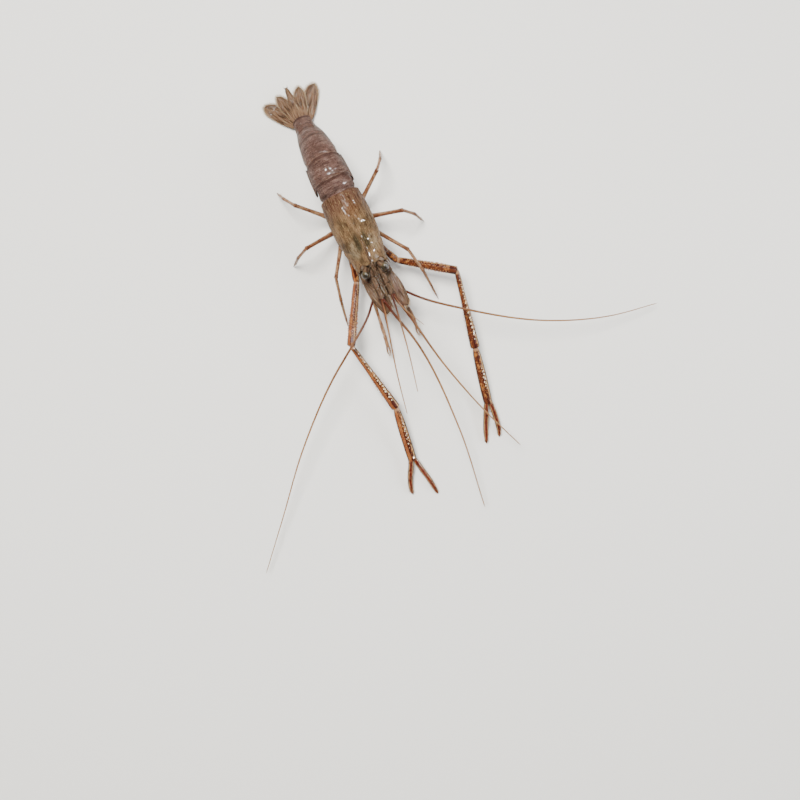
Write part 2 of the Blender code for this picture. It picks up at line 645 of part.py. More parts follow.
def build_antenna(side, material, feeler_material):
    """The long feeler: a stout root, a thinner joint ahead of it, and the whip in two lengths."""
    path = [at_side(side, place) for place in FEELER_ROOT]
    root = tube(path, FEELER_ROOT_RADII, start_normal=(0, 1, 0), end_normal=(0, 1, 0))
    new_node(f"antenna_{side}_root", root, material)
    out, height = LONG_FEELER_START
    start = at_side(side, (out, FEELER_ROOT_END_Y - GAP, height))
    whip = smooth_path([start, *LONG_FEELERS[side]], LONG_FEELER_RINGS)
    radii = list(np.linspace(LONG_FEELER_RADIUS, FEELER_TIP_RADIUS, len(whip)))
    for i, place in enumerate(whip[:4]):
        if place.y > LONG_FEELER_COLLAR_Y:
            radii[i] = LONG_FEELER_COLLAR
    half = len(whip) // 2
    near = tube(whip[: half + 1], radii[: half + 1], 6, start_normal=(0, 1, 0))
    new_node(f"antenna_{side}_whip_near", near, feeler_material)
    gap_point = whip[half] + (whip[half + 1] - whip[half]).normalized() * GAP
    far = tube([gap_point, *whip[half + 1 :]], radii[half:], 6)
    new_node(f"antenna_{side}_whip_far", far, feeler_material)


def build_scale(side, material):
    """The flat scale beside the feelers: a straight outer edge that ends in a spine, and a rounded inner edge."""
    sign = SIDES[side]
    turn = math.radians(SCALE_TURNS[side])
    ahead = Vector((sign * math.sin(turn), -math.cos(turn), 0.0))
    outward = Vector((sign * math.cos(turn), math.sin(turn), 0.0))
    out, height = SCALE_ROOT
    root = at_side(side, (out, FEELER_ROOT_END_Y - GAP, height))
    rise = Vector((0, 0, SCALE_RISE))
    shares = np.linspace(0.0, 1.0, 9)
    spine = [root + ahead * (SCALE_LENGTH * s) + rise * s for s in shares]
    outer = [SCALE_WIDTH * smooth_value(*SCALE_OUTER_WIDTHS, s) for s in shares]
    inner = [SCALE_WIDTH * smooth_value(*SCALE_INNER_WIDTHS, s) for s in shares]
    plate = blade(spine, outward, list(zip(inner, outer)), [0.5] * len(shares), arch=0.12, ridge=0.12, columns=7)
    along, aside = SCALE_THORN_PLACE
    thorn_root = root + ahead * (SCALE_LENGTH * along) + outward * (SCALE_WIDTH * aside) + rise
    thorn = cone(thorn_root, thorn_root + ahead * SCALE_THORN_LENGTH + outward * 0.1, 0.24)
    fused_node(f"scale_{side}", plate, [thorn], material)


def build_jaw_leg(side, material):
    """The third jaw leg, folded forward under the mouth."""
    root, radius = leg_root("jaw_leg", side)
    path = [root] + [at_side(side, place) for place in JAW_LEG_BENDS]
    radii = [radius * 0.7, *JAW_LEG_RADII]
    new_node(f"jaw_leg_{side}", tube(path, radii, 7, start_normal=(0, 0, 1)), material)


def build_first_leg(side, material):
    """The slender first leg with its small nipper."""
    root, radius = leg_root("leg1", side)
    elbow, wrist, tip = (Vector(p) for p in FIRST_LEGS[side])
    out, y, drop = FIRST_LEG_BEND
    bend = at_side(side, (out, y, root.z - drop))
    palm = wrist.lerp(tip, 0.5)
    path = [root, *lerps(bend, elbow, (0.0, 0.5, 0.94)), *lerps(elbow, wrist, (0.06, 0.5, 0.95))]
    path += [wrist.lerp(palm, 0.25), palm, tip]
    radii = [radius * 0.7, *FIRST_LEG_RADII]
    aside = Vector((SIDES[side], 0, 0))
    finger = tube([palm.lerp(wrist, 0.3), palm + aside * 0.48, tip + aside * 0.66], NIPPER_RADII, 5)
    fused_node(f"leg1_{side}", tube(path, radii, 7, start_normal=(0, 0, 1)), [finger], material)


def mitre(a, corner, b):
    """The direction halfway between the way into a corner and the way out of it."""
    return ((Vector(corner) - Vector(a)).normalized() + (Vector(b) - Vector(corner)).normalized()).normalized()


def build_arm(side, material):
    """One long arm: upper arm, forearm, palm with its fixed finger, and the finger that moves in life."""
    joints = {name: Vector(p) for name, p in ARMS[side].items()}
    build_upper_arm(side, joints, material)
    build_forearm(side, joints, material)
    build_palm(side, joints, material)
    build_thumb(side, joints, material)


def build_upper_arm(side, joints, material):
    root, radius = leg_root("arm", side)
    knuckle, elbow = joints["knuckle"], joints["elbow"]
    out, y, drop = ARM_BEND
    bend = at_side(side, (out, y, root.z - drop))
    elbow_normal = mitre(knuckle, elbow, joints["wrist"])
    path = [root, *lerps(bend, knuckle, (0.0, 0.45, 0.92)), *lerps(knuckle, elbow, (0.12, 0.5, 0.86))]
    path.append(elbow - elbow_normal * (GAP / 2))
    radii = [radius * ROOT_SHARE, *UPPER_ARM_RADII]
    mesh = tube(path, radii, 9, start_normal=(0, 0, 1), end_normal=elbow_normal)
    spines = spine_rows(*lerps(knuckle, elbow, (0.14, 0.93)), 0.9, 1.08, ARM_SPINES_UPPER)
    fused_node(f"arm_{side}_upper", mesh, spines, material)


def build_forearm(side, joints, material):
    knuckle, elbow, wrist, palm_end = (joints[n] for n in ("knuckle", "elbow", "wrist", "palm_end"))
    elbow_normal, wrist_normal = mitre(knuckle, elbow, wrist), mitre(elbow, wrist, palm_end)
    path = [elbow + elbow_normal * (GAP / 2), *lerps(elbow, wrist, (0.08, 0.3, 0.6, 0.88, 0.96))]
    path.append(wrist - wrist_normal * (GAP / 2))
    mesh = tube(path, FOREARM_RADII, 9, start_normal=elbow_normal, end_normal=wrist_normal)
    spines = spine_rows(*lerps(elbow, wrist, (0.08, 0.93)), 0.72, 1.17, ARM_SPINES_FOREARM)
    fused_node(f"arm_{side}_forearm", mesh, spines, material)


def beside(a, b, outward, places):
    """Points along a finger from a to b: each place is a share of the way and a distance outwards."""
    return [a.lerp(b, share) + outward * offset for share, offset in places]


def build_palm(side, joints, material):
    """The palm and the finger that is one with it."""
    elbow, wrist, palm_end, tip = (joints[n] for n in ("elbow", "wrist", "palm_end", "finger_tip"))
    wrist_normal = mitre(elbow, wrist, palm_end)
    along = (palm_end - wrist).normalized()
    outward = Vector((SIDES[side], 0, 0))
    path = [wrist + wrist_normal * (GAP / 2), wrist + along * 0.9, *lerps(wrist, palm_end, (0.25, 0.7))]
    path += [palm_end - along * 0.4, palm_end]
    mesh = tube(path, PALM_RADII, 9, flatten=PALM_FLATTEN, start_normal=wrist_normal)
    finger_root = palm_end + outward * 0.45 - along * 1.6
    route = beside(palm_end, tip, outward, ((0.0, 0.55), (0.5, 0.75), (0.8, 0.55), (1.0, 0.0)))
    finger = tube([finger_root, *route], FIXED_FINGER_RADII, 7)
    inner_edge = palm_end.lerp(tip, 0.3) + outward * 0.2
    tooth = cone(inner_edge + outward * 0.2, inner_edge - outward * 0.42, CLAW_TOOTH_RADIUS)
    spines = spine_rows(wrist + along * 0.9, palm_end, 1.1, 1.15, ARM_SPINES_PALM, PALM_FLATTEN)
    fused_node(f"arm_{side}_palm", mesh, [finger, tooth, *spines], material)


def build_thumb(side, joints, material):
    """The finger that moves in life, set against the palm's end."""
    wrist, palm_end, tip = (joints[n] for n in ("wrist", "palm_end", "thumb_tip"))
    along = (palm_end - wrist).normalized()
    inward = Vector((-SIDES[side], 0, 0))
    root = palm_end + inward * 0.52 + along * GAP
    route = beside(palm_end, tip, inward, ((0.22, 0.5), (0.55, 0.45), (0.85, 0.2), (1.0, 0.0)))
    thumb = tube([root, *route], THUMB_RADII, 7, start_normal=along)
    inner_edge = palm_end.lerp(tip, 0.42) - inward * 0.1
    tooth = cone(inner_edge + inward * 0.5, inner_edge - inward * 0.3, CLAW_TOOTH_RADIUS)
    fused_node(f"arm_{side}_finger", thumb, [tooth], material)


def build_walking_leg(hip, side, material):
    """A walking leg: the thigh up to the knee, and the shank down to its foot on the floor."""
    root, radius = leg_root(hip, side)
    bend, knee, ankle, foot = (Vector(p) for p in WALKING_LEGS[hip, side])
    normal = mitre(bend, knee, ankle)
    thigh = [root, *lerps(bend, knee, (0.0, 0.25, 0.6, 0.92)), knee - normal * (GAP / 2)]
    radii = [radius * ROOT_SHARE, *THIGH_RADII]
    thigh_mesh = tube(thigh, radii, 7, start_normal=(0, 0, 1), end_normal=normal)
    new_node(f"{hip}_{side}_thigh", thigh_mesh, material)
    shank = [knee + normal * (GAP / 2), *lerps(knee, ankle, (0.3, 0.95))]
    shank += lerps(ankle, foot, (0.12, 0.5, 0.76, 0.82, 1.0))
    shank_mesh = tube(shank, SHANK_RADII, 6, start_normal=normal, end_normal=(0, 0, 1))
    new_node(f"{hip}_{side}_shank", shank_mesh, material)


def tail_line():
    """Points, slopes and lengths along the tail's centre line: the slope changes evenly along each ring."""
    steps_a_ring = 20
    point = Vector((0.0, SHIELD_REAR_Y + GAP, TAIL_START_Z))
    points, slopes, along = [point.copy()], [math.radians(RING_SLOPES[0])], [0.0]
    for length, start, end in zip(RING_LENGTHS, RING_SLOPES, RING_SLOPES[1:]):
        for k in range(steps_a_ring):
            slope = math.radians(start + (end - start) * (k + 0.5) / steps_a_ring)
            step = length / steps_a_ring
            point = point + Vector((0, math.cos(slope), -math.sin(slope))) * step
            points.append(point.copy())
            slopes.append(slope)
            along.append(along[-1] + step)
    return points, slopes, along


def tail_frame(distance):
    """Centre, backward direction and upward direction at a distance along the tail."""
    points, slopes, along = tail_line()
    centre = Vector([float(np.interp(distance, along, [p[k] for p in points])) for k in range(3)])
    slope = float(np.interp(distance, along, slopes))
    return centre, Vector((0, math.cos(slope), -math.sin(slope))), Vector((0, math.sin(slope), math.cos(slope)))


def ring_starts():
    """Where each ring starts along the tail, and where the last one ends."""
    return [sum(RING_LENGTHS[:k]) for k in range(len(RING_LENGTHS) + 1)]


def flap_inset(index, share):
    """How far a ring's side draws in under the second ring's flap: on the first ring's back part and the third's
    front part."""
    distance = {0: (1.0 - share) * RING_LENGTHS[0], 2: share * RING_LENGTHS[2]}.get(index)
    if distance is None:
        return 0.0
    return FLAP_INSET * min(1.0, max(0.0, 2.0 - distance / (BIG_FLAP_OVERHANG + 0.2)))


def big_flap(sign):
    """The second ring's wide flap: a rounded plate that overhangs the rings before and behind it."""
    index = 1
    starts = ring_starts()
    middle = starts[index] + RING_LENGTHS[index] / 2
    reach = RING_LENGTHS[index] / 2 + BIG_FLAP_OVERHANG
    mid_height = (BIG_FLAP_TOP - FLAP_DROPS[index]) / 2
    half_height = (BIG_FLAP_TOP + FLAP_DROPS[index]) / 2
    bm = bmesh.new()
    outer_rows, inner_rows = [], []
    for station in np.linspace(-0.97, 0.97, 9):
        distance = middle + station * reach
        half_width = smooth_value(starts, RING_HALF_WIDTHS, distance)
        extent = half_height * (1 - abs(station) ** 2.6) ** 0.5
        centre, _, up = tail_frame(distance)
        outer_row, inner_row = [], []
        for v in np.linspace(1.0, -1.0, 7):
            height = mid_height + v * extent
            taper = SIDE_TAPER * (min(0.0, height) / FLAP_DROPS[index]) ** 2
            width = half_width * (1.0 - taper) - BIG_FLAP_SINK
            point = centre + up * height
            inner_row.append(bm.verts.new(point + Vector((sign * width, 0, 0))))
            outer_row.append(bm.verts.new(point + Vector((sign * (width + BIG_FLAP_THICKNESS), 0, 0))))
        outer_rows.append(outer_row)
        inner_rows.append(inner_row)
    close_plate(bm, outer_rows, inner_rows)
    return bm


def tail_ring(index, share, points=17):
    """One section of a tail ring: the back's arch, a thin flap down each side, and the belly between them."""
    starts = ring_starts()
    distance = starts[index] + TAIL_GAP / 2 + share * (RING_LENGTHS[index] - TAIL_GAP)
    half_width = smooth_value(starts, RING_HALF_WIDTHS, distance)
    rise = smooth_value(starts, RING_RISES, distance)
    belly = smooth_value(starts, BELLY_DROPS, distance)
    lobe = max(0.0, 1.0 - abs(2 * share - 1) ** 2.4) ** 0.7
    drop = belly + FLAP_SHORTEST + (FLAP_DROPS[index] - belly - FLAP_SHORTEST) * lobe
    centre, _, up = tail_frame(distance)
    bulge = 1.0 + RING_BULGE * math.sin(math.pi * share)
    inset = flap_inset(index, share)
    ring = []
    for turn in np.linspace(-RING_EDGE_ANGLE, RING_EDGE_ANGLE, points):
        if abs(turn) <= math.pi / 2:
            height = rise * bulge * math.cos(turn)
            width = half_width * bulge * math.sin(turn) - math.copysign(inset * math.sin(turn) ** 8, turn)
        else:
            height = drop * math.cos(turn) / abs(math.cos(RING_EDGE_ANGLE))
            width = math.copysign(half_width * (1.0 - SIDE_TAPER * (height / drop) ** 2) - inset, turn)
        ring.append(centre + up * height + Vector((width, 0, 0)))
    inner = half_width * (1.0 - SIDE_TAPER) - FLAP_THICKNESS - inset
    for width, height in ((inner, -drop), (inner - 0.1, -belly), (-inner + 0.1, -belly), (-inner, -drop)):
        ring.append(centre + up * height + Vector((width, 0, 0)))
    return ring


def build_tail_rings(material):
    for index in range(len(RING_LENGTHS)):
        rings = [tail_ring(index, share) for share in np.linspace(0.0, 1.0, 9)]
        name = f"tail_ring_{index + 1}"
        if index == 1:
            flaps = [big_flap(sign) for sign in SIDES.values()]
            fused_node(name, loft(rings, hollow=True), flaps, material)
        else:
            new_node(name, loft(rings, hollow=True), material)


def build_swimmeret(index, side, material):
    """A paddle under a tail ring: a stout root and two leaves that lie backwards."""
    sign = SIDES[side]
    starts = ring_starts()
    distance = starts[index] + RING_LENGTHS[index] / 2
    belly = smooth_value(starts, BELLY_DROPS, distance)
    half_width = smooth_value(starts, RING_HALF_WIDTHS, distance)
    centre, back, up = tail_frame(distance)
    reach = SWIMMERET_REACHES[index]
    size = half_width / RING_HALF_WIDTHS[0]
    root = centre - up * (belly + GAP) + Vector((sign * half_width * SWIMMERET_PLACE, 0, 0))
    down = (-up + back * SWIMMERET_LEANS[index]).normalized()
    stem_radii = [0.6 * size, 0.54 * size]
    stem = tube([root, root + down * (reach * 0.36)], stem_radii, 6, start_normal=up, across=(0, 1, 0))
    leaves = []
    for offset, length in SWIMMERET_LEAVES:
        start = root + down * (reach * 0.24) + Vector((sign * offset * 0.5, 0, 0))
        spread = (down + Vector((sign * offset * 0.34, 0, 0))).normalized()
        tip = start + spread * (reach * 0.76 * length)
        path = lerps(start, tip, (0.0, 0.3, 0.6, 0.85, 1.0))
        widths = [0.3 * size, 0.46 * size, 0.6 * size, 0.46 * size, 0.16]
        thickness = [0.6, 0.56, 0.52, 0.5, 0.5]
        leaves.append(blade(path, (1, 0, 0), [(w, w) for w in widths], thickness, columns=3))
    fused_node(f"swimmeret_{index + 1}_{side}", stem, leaves, material)


def settle(start, low, distance):
    """Height of a fan blade's middle at a distance from its root: it eases down from start to low."""
    return start + (low - start) * math.sin(min(1.0, distance / SPIKE_LENGTH) * math.pi / 2)


def build_tail_fan(material):
    """The tail spike in the middle and, on each side, an inner and an outer blade, one level under the other."""
    centre, back, up = tail_frame(sum(RING_LENGTHS))
    root = centre + back * (TAIL_GAP / 2)
    start = root + up * FAN_LEVELS[0][0]
    path = []
    for share in (0.0, 0.12, 0.3, 0.5, 0.7, 0.88, 1.0):
        distance = SPIKE_LENGTH * share
        path.append(Vector((0, start.y + distance, settle(start.z, FAN_LEVELS[0][1], distance))))
    widths = [1.5, 1.55, 1.45, 1.2, 0.95, 0.7, 0.3]
    thickness = [1.0, 1.0, 0.9, 0.75, 0.65, 0.55, 0.5]
    spike = blade(path, (1, 0, 0), [(w, w) for w in widths], thickness, arch=0.2, columns=7)
    new_node("tail_spike", spike, material)
    shares = np.linspace(0.0, 1.0, 8)
    for side, sign in SIDES.items():
        for k, blade_name in enumerate(("inner", "outer")):
            rise, low = FAN_LEVELS[k + 1]
            length, width = FAN_BLADE_LENGTHS[k], FAN_BLADE_WIDTHS[k]
            turn = math.radians(FAN_BLADE_ANGLES[k])
            ahead = Vector((sign * math.sin(turn), math.cos(turn), 0))
            outward = Vector((sign * math.cos(turn), -math.sin(turn), 0))
            start = root + up * rise + Vector((sign * (1.0 + 0.5 * k), 0, 0))
            path = []
            for share in shares:
                place = start + ahead * (length * share)
                path.append(Vector((place.x, place.y, settle(start.z, low, length * share))))
            outer = [width * smooth_value(*FAN_OUTER_WIDTHS, s) for s in shares]
            inner = [width * smooth_value(*FAN_INNER_WIDTHS, s) for s in shares]
            plate = blade(path, outward, list(zip(inner, outer)), [0.5] * len(shares), ridge=0.1, columns=7)
            new_node(f"tail_fan_{side}_{blade_name}", plate, material)


def centre_on_origin():
    """Moves every piece so that the origin is under the middle of the whole, on the floor."""
    low, high = Vector((math.inf,) * 3), Vector((-math.inf,) * 3)
    for obj in bpy.context.scene.objects:
        for vert in obj.data.vertices:
            low = Vector(map(min, low, vert.co))
            high = Vector(map(max, high, vert.co))
    shift = Vector((-(low.x + high.x) / 2, -(low.y + high.y) / 2, 0.0))
    for obj in bpy.context.scene.objects:
        obj.location = shift


def main():
    clear_scene()
    shell = surface("olive_shell", (0.23, 0.17, 0.095), 0.3)
    flesh = surface("mauve_tail_shell", (0.2, 0.13, 0.1), 0.3)
    arm = surface("mottled_arm_shell", (0.33, 0.13, 0.05), 0.35)
    leg = surface("tan_leg_shell", (0.42, 0.25, 0.14), 0.4)
    whip = surface("red_brown_feeler", (0.3, 0.12, 0.06), 0.4)
    membrane = surface("thin_fan_shell", (0.3, 0.23, 0.15), 0.35)
    eye = surface("black_eye", (0.02, 0.016, 0.012), 0.08)
    build_shield(shell)
    build_chest(leg)
    build_tail_rings(flesh)
    build_tail_fan(membrane)
    for side in SIDES:
        build_eye(side, eye)
        build_antennule(side, whip)
        build_antenna(side, shell, whip)
        build_scale(side, membrane)
        build_jaw_leg(side, leg)
        build_first_leg(side, leg)
        build_arm(side, arm)
        for hip in ("leg3", "leg4", "leg5"):
            build_walking_leg(hip, side, leg)
        for index in range(5):
            build_swimmeret(index, side, membrane)
    centre_on_origin()


main()
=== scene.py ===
import math

import bpy
import numpy as np
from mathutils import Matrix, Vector

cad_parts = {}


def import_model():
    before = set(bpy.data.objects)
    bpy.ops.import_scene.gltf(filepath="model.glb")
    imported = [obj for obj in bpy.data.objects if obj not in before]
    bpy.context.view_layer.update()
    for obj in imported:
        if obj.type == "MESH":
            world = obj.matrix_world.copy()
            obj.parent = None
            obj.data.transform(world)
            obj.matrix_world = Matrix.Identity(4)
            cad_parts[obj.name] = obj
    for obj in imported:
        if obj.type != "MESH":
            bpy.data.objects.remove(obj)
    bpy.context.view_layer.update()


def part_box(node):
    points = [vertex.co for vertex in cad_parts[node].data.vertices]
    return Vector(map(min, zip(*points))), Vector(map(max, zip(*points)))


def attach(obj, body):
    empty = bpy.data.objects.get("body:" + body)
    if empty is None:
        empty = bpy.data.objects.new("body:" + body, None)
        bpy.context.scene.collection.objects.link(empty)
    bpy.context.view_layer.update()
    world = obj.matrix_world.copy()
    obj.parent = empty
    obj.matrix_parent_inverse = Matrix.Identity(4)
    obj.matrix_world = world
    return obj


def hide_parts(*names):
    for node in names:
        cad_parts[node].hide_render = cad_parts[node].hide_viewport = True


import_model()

# The shapes are worked out in the animal's own frame, in millimetres: x towards its left side, y backwards from
# the line through both eyes, z up from the floor. world() turns a place into the frame's metres.
MM = 0.001
SHIELD_FRONT_Y = 1.5
SHIELD_REAR_Y = 20.7
shield_low, shield_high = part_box("carapace")
ORIGIN = np.array([(shield_low[0] + shield_high[0]) / 2, shield_high[1] - SHIELD_REAR_Y * MM, 0.0])
SIDES = {"right": -1.0, "left": 1.0}
random = np.random.default_rng(7)


def world(points):
    """Places in the animal's frame, in millimetres, as places in the frame's metres."""
    return np.asarray(points, float) * MM + ORIGIN


def mirror(sign, x, y, z):
    """A place that is given for the animal's left side, on the side of sign."""
    return np.array([sign * x, y, z], float)


# Curves and frames along them

def hermite(at, values, where):
    """Values on one smooth curve: a cubic on each stretch, whose end slopes are central differences."""
    at, values = np.asarray(at, float), np.asarray(values, float)
    where = np.clip(np.asarray(where, float), at[0], at[-1])
    slopes = np.gradient(values, at, axis=0)
    i = np.clip(np.searchsorted(at, where, side="right") - 1, 0, len(at) - 2)
    span = at[i + 1] - at[i]
    t = (where - at[i]) / span
    if values.ndim == 2:
        t, span = t[:, None], span[:, None]
    return (
        (2 * t**3 - 3 * t**2 + 1) * values[i]
        + (t**3 - 2 * t**2 + t) * span * slopes[i]
        + (3 * t**2 - 2 * t**3) * values[i + 1]
        + (t**3 - t**2) * span * slopes[i + 1]
    )


def run_along(points, axis=0):
    """The distance run along one axis of an array of places, from 0 at its start."""
    steps = np.linalg.norm(np.diff(points, axis=axis), axis=-1)
    return np.concatenate([0 * steps.take([0], axis), steps.cumsum(axis)], axis=axis)


def run_through(points, count):
    """count places evenly along one smooth curve through the given points."""
    at = run_along(points)
    return hermite(at, points, np.linspace(0.0, at[-1], count))


def unit(vectors):
    """Vectors over their own length."""
    vectors = np.asarray(vectors, float)
    return vectors / np.maximum(np.linalg.norm(vectors, axis=-1, keepdims=True), 1e-9)


def joined(x, y, z):
    """Three values or arrays, stretched to one shape, as the last axis of one array."""
    return np.stack(np.broadcast_arrays(x, y, z), axis=-1)


def frames(path):
    """Tangent, side and up along a path: side is the animal's left with its part along the path taken away, and
    up, which is square to both, points to the sky on the whole."""
    tangent = unit(np.gradient(path, axis=0))
    side = unit([1.0, 0.0, 0.0] - tangent[:, :1] * tangent)
    up = np.cross(side, tangent)
    return tangent, side, up if up[:, 2].mean() > -0.01 else -up


def ease(x):
    """0 below 0, 1 above 1, and the smooth cubic 3x^2 - 2x^3 between."""
    x = np.clip(x, 0.0, 1.0)
    return x * x * (3 - 2 * x)


def hump(x, middle, width):
    """exp(-((x - middle) / width)^2)"""
    return np.exp(-(((x - middle) / width) ** 2))


def rounded(x, power, least):
    """sqrt(1 - x^power) for x from 0 to 1, kept a little over 0: a round end's outline."""
    return np.sqrt(np.maximum(1 - np.clip(x, 0, 1) ** power, least))


def cosine_steps(count, low=0.0, high=1.0):
    """Values from low to high, closest together at both ends."""
    return low + (high - low) * (0.5 - 0.5 * np.cos(np.linspace(0.0, np.pi, count)))


def round_angles(count):
    """Angles once round a form, from its underside: 0 is its side and a quarter turn its top."""
    return np.linspace(0.0, 2 * np.pi, count, endpoint=False) - np.pi / 2


# Patches: arrays of points and faces, joined into pieces. The "lie" of a point tells its finish where on the form
# it lies. On tubes and blades its x is the distance along, in millimetres, and its y the place round or across,
# from -0.5 to 0.5, with 0 on the upper side. On the plates of the shield and the tail x is the share of length
# and y runs from -1 to 1. On spines and hairs x is the share of their own length. z is the form's own value.

def outward(co, quads, tris):
    """Faces turned outwards: the signed volume under a closed patch is positive when they are."""
    corners = np.concatenate([quads[:, [0, 1, 2]], quads[:, [0, 2, 3]], tris])
    p = co[corners] - co.mean(0)
    if (p[:, 0] * np.cross(p[:, 1], p[:, 2])).sum() < 0:
        return quads[:, ::-1], tris[:, ::-1]
    return quads, tris


def wrap(rows, first_pole, last_pole):
    """Faces over a grid of point numbers whose rows run round a form, and the fans that close it on two poles."""
    after = np.roll(rows, -1, axis=1)
    quads = np.stack([rows[:-1], after[:-1], after[1:], rows[1:]], axis=2).reshape(-1, 4)
    return quads, np.concatenate([joined(after[0], rows[0], first_pole), joined(rows[-1], after[-1], last_pole)])


def skin(rows):
    """A closed patch over rows (n, m, 3): each row runs round the form, and each end row closes on a pole at its
    own middle."""
    n, m, _ = rows.shape
    lie = joined(run_along(rows.mean(1))[:, None], np.arange(m) / m - 0.5, 0.0)
    co, lie = (np.concatenate([grid.reshape(-1, 3), grid[[0, -1]].mean(1)]) for grid in (rows, lie))
    quads, tris = outward(co, *wrap(np.arange(n * m).reshape(n, m), n * m, n * m + 1))
    return {"co": co, "quads": quads, "tris": tris, "lie": lie}


def marked(patch, value):
    """The patch with a value, or one for each point, as the z of its lie."""
    patch["lie"][:, 2] = value
    return patch


def tube(path, radii, around, flatten=1.0):
    """A closed tube: each section is an ellipse, radii sideways and radii times flatten upwards."""
    radii = np.broadcast_to(radii, (len(path),))[:, None]
    _, side, up = frames(path)
    angle = round_angles(around)
    return skin(
        path[:, None]
        + side[:, None] * (radii * np.cos(angle))[..., None]
        + up[:, None] * (radii * flatten * np.sin(angle))[..., None]
    )


CAP_LENGTH = 0.75  # a share of the radius at a limb's end


def limb(a, b, stations, radii, flatten=1.0, around=20, count=40, sink=0.5):
    """One straight length of limb from a to b. Its radius runs through the given stations, and each end closes on
    an ellipse that reaches past it, by sink times its radius, into the neighbouring length."""
    way = unit(np.subtract(b, a))
    a, b = a - way * (radii[0] * sink), b + way * (radii[-1] * sink)
    s = cosine_steps(count)
    cap = CAP_LENGTH * np.where(s < 0.5, radii[0], radii[-1])
    near = np.minimum(s, 1 - s) * np.linalg.norm(b - a) / cap
    radius = hermite(stations, radii, s) * rounded(1 - near, 2, 0.001)
    return tube(a + (b - a) * s[:, None], radius, around, flatten)


def plate(outer, outwards, thickness, lie, rim):
    """A closed plate under a grid of points (n, m, 3). With d the distance to the nearest edge, half of its
    thickness is thickness / 2 times sqrt(1 - (1 - d / rim)^2), so that the rim is a half circle."""
    n, m, _ = outer.shape
    normal = unit(np.cross(np.gradient(outer, axis=0), np.gradient(outer, axis=1)))
    normal *= np.where((normal * outwards).sum(2, keepdims=True) < 0, -1.0, 1.0)
    down, over = run_along(outer, 0), run_along(outer, 1)
    d = np.minimum(np.minimum(down, down[-1:] - down), np.minimum(over, over[:, -1:] - over))
    full = rounded(1 - d / rim, 2, 0.002)
    half = np.broadcast_to(thickness, (n, m)) / 2
    top = outer - normal * (half * (1 - full))[..., None]
    bottom = outer - normal * (half * (1 + full))[..., None]
    k = np.arange(n * m).reshape(n, m)
    faces = np.stack([k[:-1, :-1], k[:-1, 1:], k[1:, 1:], k[1:, :-1]], axis=2).reshape(-1, 4)
    edge = np.concatenate([k[0], k[1:, -1], k[-1, -2::-1], k[-2:0:-1, 0]])
    after = np.roll(edge, -1)
    wall = np.stack([after, edge, edge + n * m, after + n * m], axis=1)
    quads = np.concatenate([faces, faces[:, ::-1] + n * m, wall])
    co = np.concatenate([top.reshape(-1, 3), bottom.reshape(-1, 3)])
    quads, tris = outward(co, quads, np.zeros((0, 3), int))
    return {"co": co, "quads": quads, "tris": tris, "lie": np.concatenate([lie.reshape(-1, 3)] * 2)}


def ball(centre, radii, around=24, count=18):
    """An ellipsoid: a half circle of latitude turned round the vertical axis."""
    turn = np.linspace(0.02, np.pi - 0.02, count)[:, None]
    angle = np.linspace(0.0, 2 * np.pi, around, endpoint=False)
    rows = joined(np.sin(turn) * np.cos(angle), np.sin(turn) * np.sin(angle), np.cos(turn))
    return skin(np.asarray(centre, float) + rows * np.asarray(radii, float))


UNWRAP_MARGIN = 0.01
UNWRAP_PATCH = 0.003  # the share of the unwrap that one hair takes up
OWN_VALUES = 17  # the number of values that hairs take in turn as their own


def spikes(roots, directions, lengths, radii, sides, steps=3, taper=0.8, droop=(0, 0, 0), unwrap=None):
    """Many spines or hairs at once. Each runs from its root along its direction, bending by droop times the share
    squared, and narrows as the share left to the power of taper. unwrap (count, 2) is each root's place on an
    unwrap of the skin, from 0 to 1."""
    roots, directions = np.asarray(roots, float), unit(directions)
    count = len(roots)
    lengths = np.broadcast_to(lengths, (count,))[:, None, None]
    radii = np.broadcast_to(radii, (count,))[:, None, None, None]
    s = np.linspace(0.0, 1.0, steps + 1)[None, :, None]
    line = roots[:, None] + directions[:, None] * lengths * s + np.asarray(droop) * lengths * s**2
    helper = np.where(np.abs(directions[:, 2:]) < 0.9, [[0.0, 0.0, 1.0]], [[1.0, 0.0, 0.0]])
    side = unit(np.cross(directions, helper))
    up = np.cross(side, directions)
    turn = np.arange(sides) / sides
    angle = (2 * np.pi * turn)[None, :, None]
    ring = side[:, None] * np.cos(angle) + up[:, None] * np.sin(angle)
    shell = line[:, :-1, None] + ring[:, None] * radii * ((1 - s[:, :-1]) ** taper)[..., None]
    co = np.concatenate([shell.reshape(count, -1, 3), line[:, -1:], roots[:, None]], axis=1)
    each = steps * sides + 2
    offset = (np.arange(count) * each)[:, None, None]
    quads, tris = wrap(np.arange(steps * sides).reshape(steps, sides), each - 1, each - 2)
    share = np.concatenate([np.repeat(s[0, :-1, 0], sides), [1.0, 0.0]])
    if unwrap is None:
        unwrap = np.stack([(np.arange(count) + 0.5) / count, np.full(count, 0.5)], axis=1)
    within = np.stack([share, np.concatenate([np.tile(turn, steps), [0.5, 0.5]])], axis=1)
    flat = UNWRAP_MARGIN + (1 - 2 * UNWRAP_MARGIN) * unwrap[:, None] + UNWRAP_PATCH * (within - 0.5)
    return {
        "co": co.reshape(-1, 3),
        "quads": (quads + offset).reshape(-1, 4),
        "tris": (tris + offset).reshape(-1, 3),
        "lie": joined(share, 0.0, np.arange(count)[:, None] % OWN_VALUES / OWN_VALUES).reshape(-1, 3),
        "unwrap": flat.reshape(-1, 2),
    }


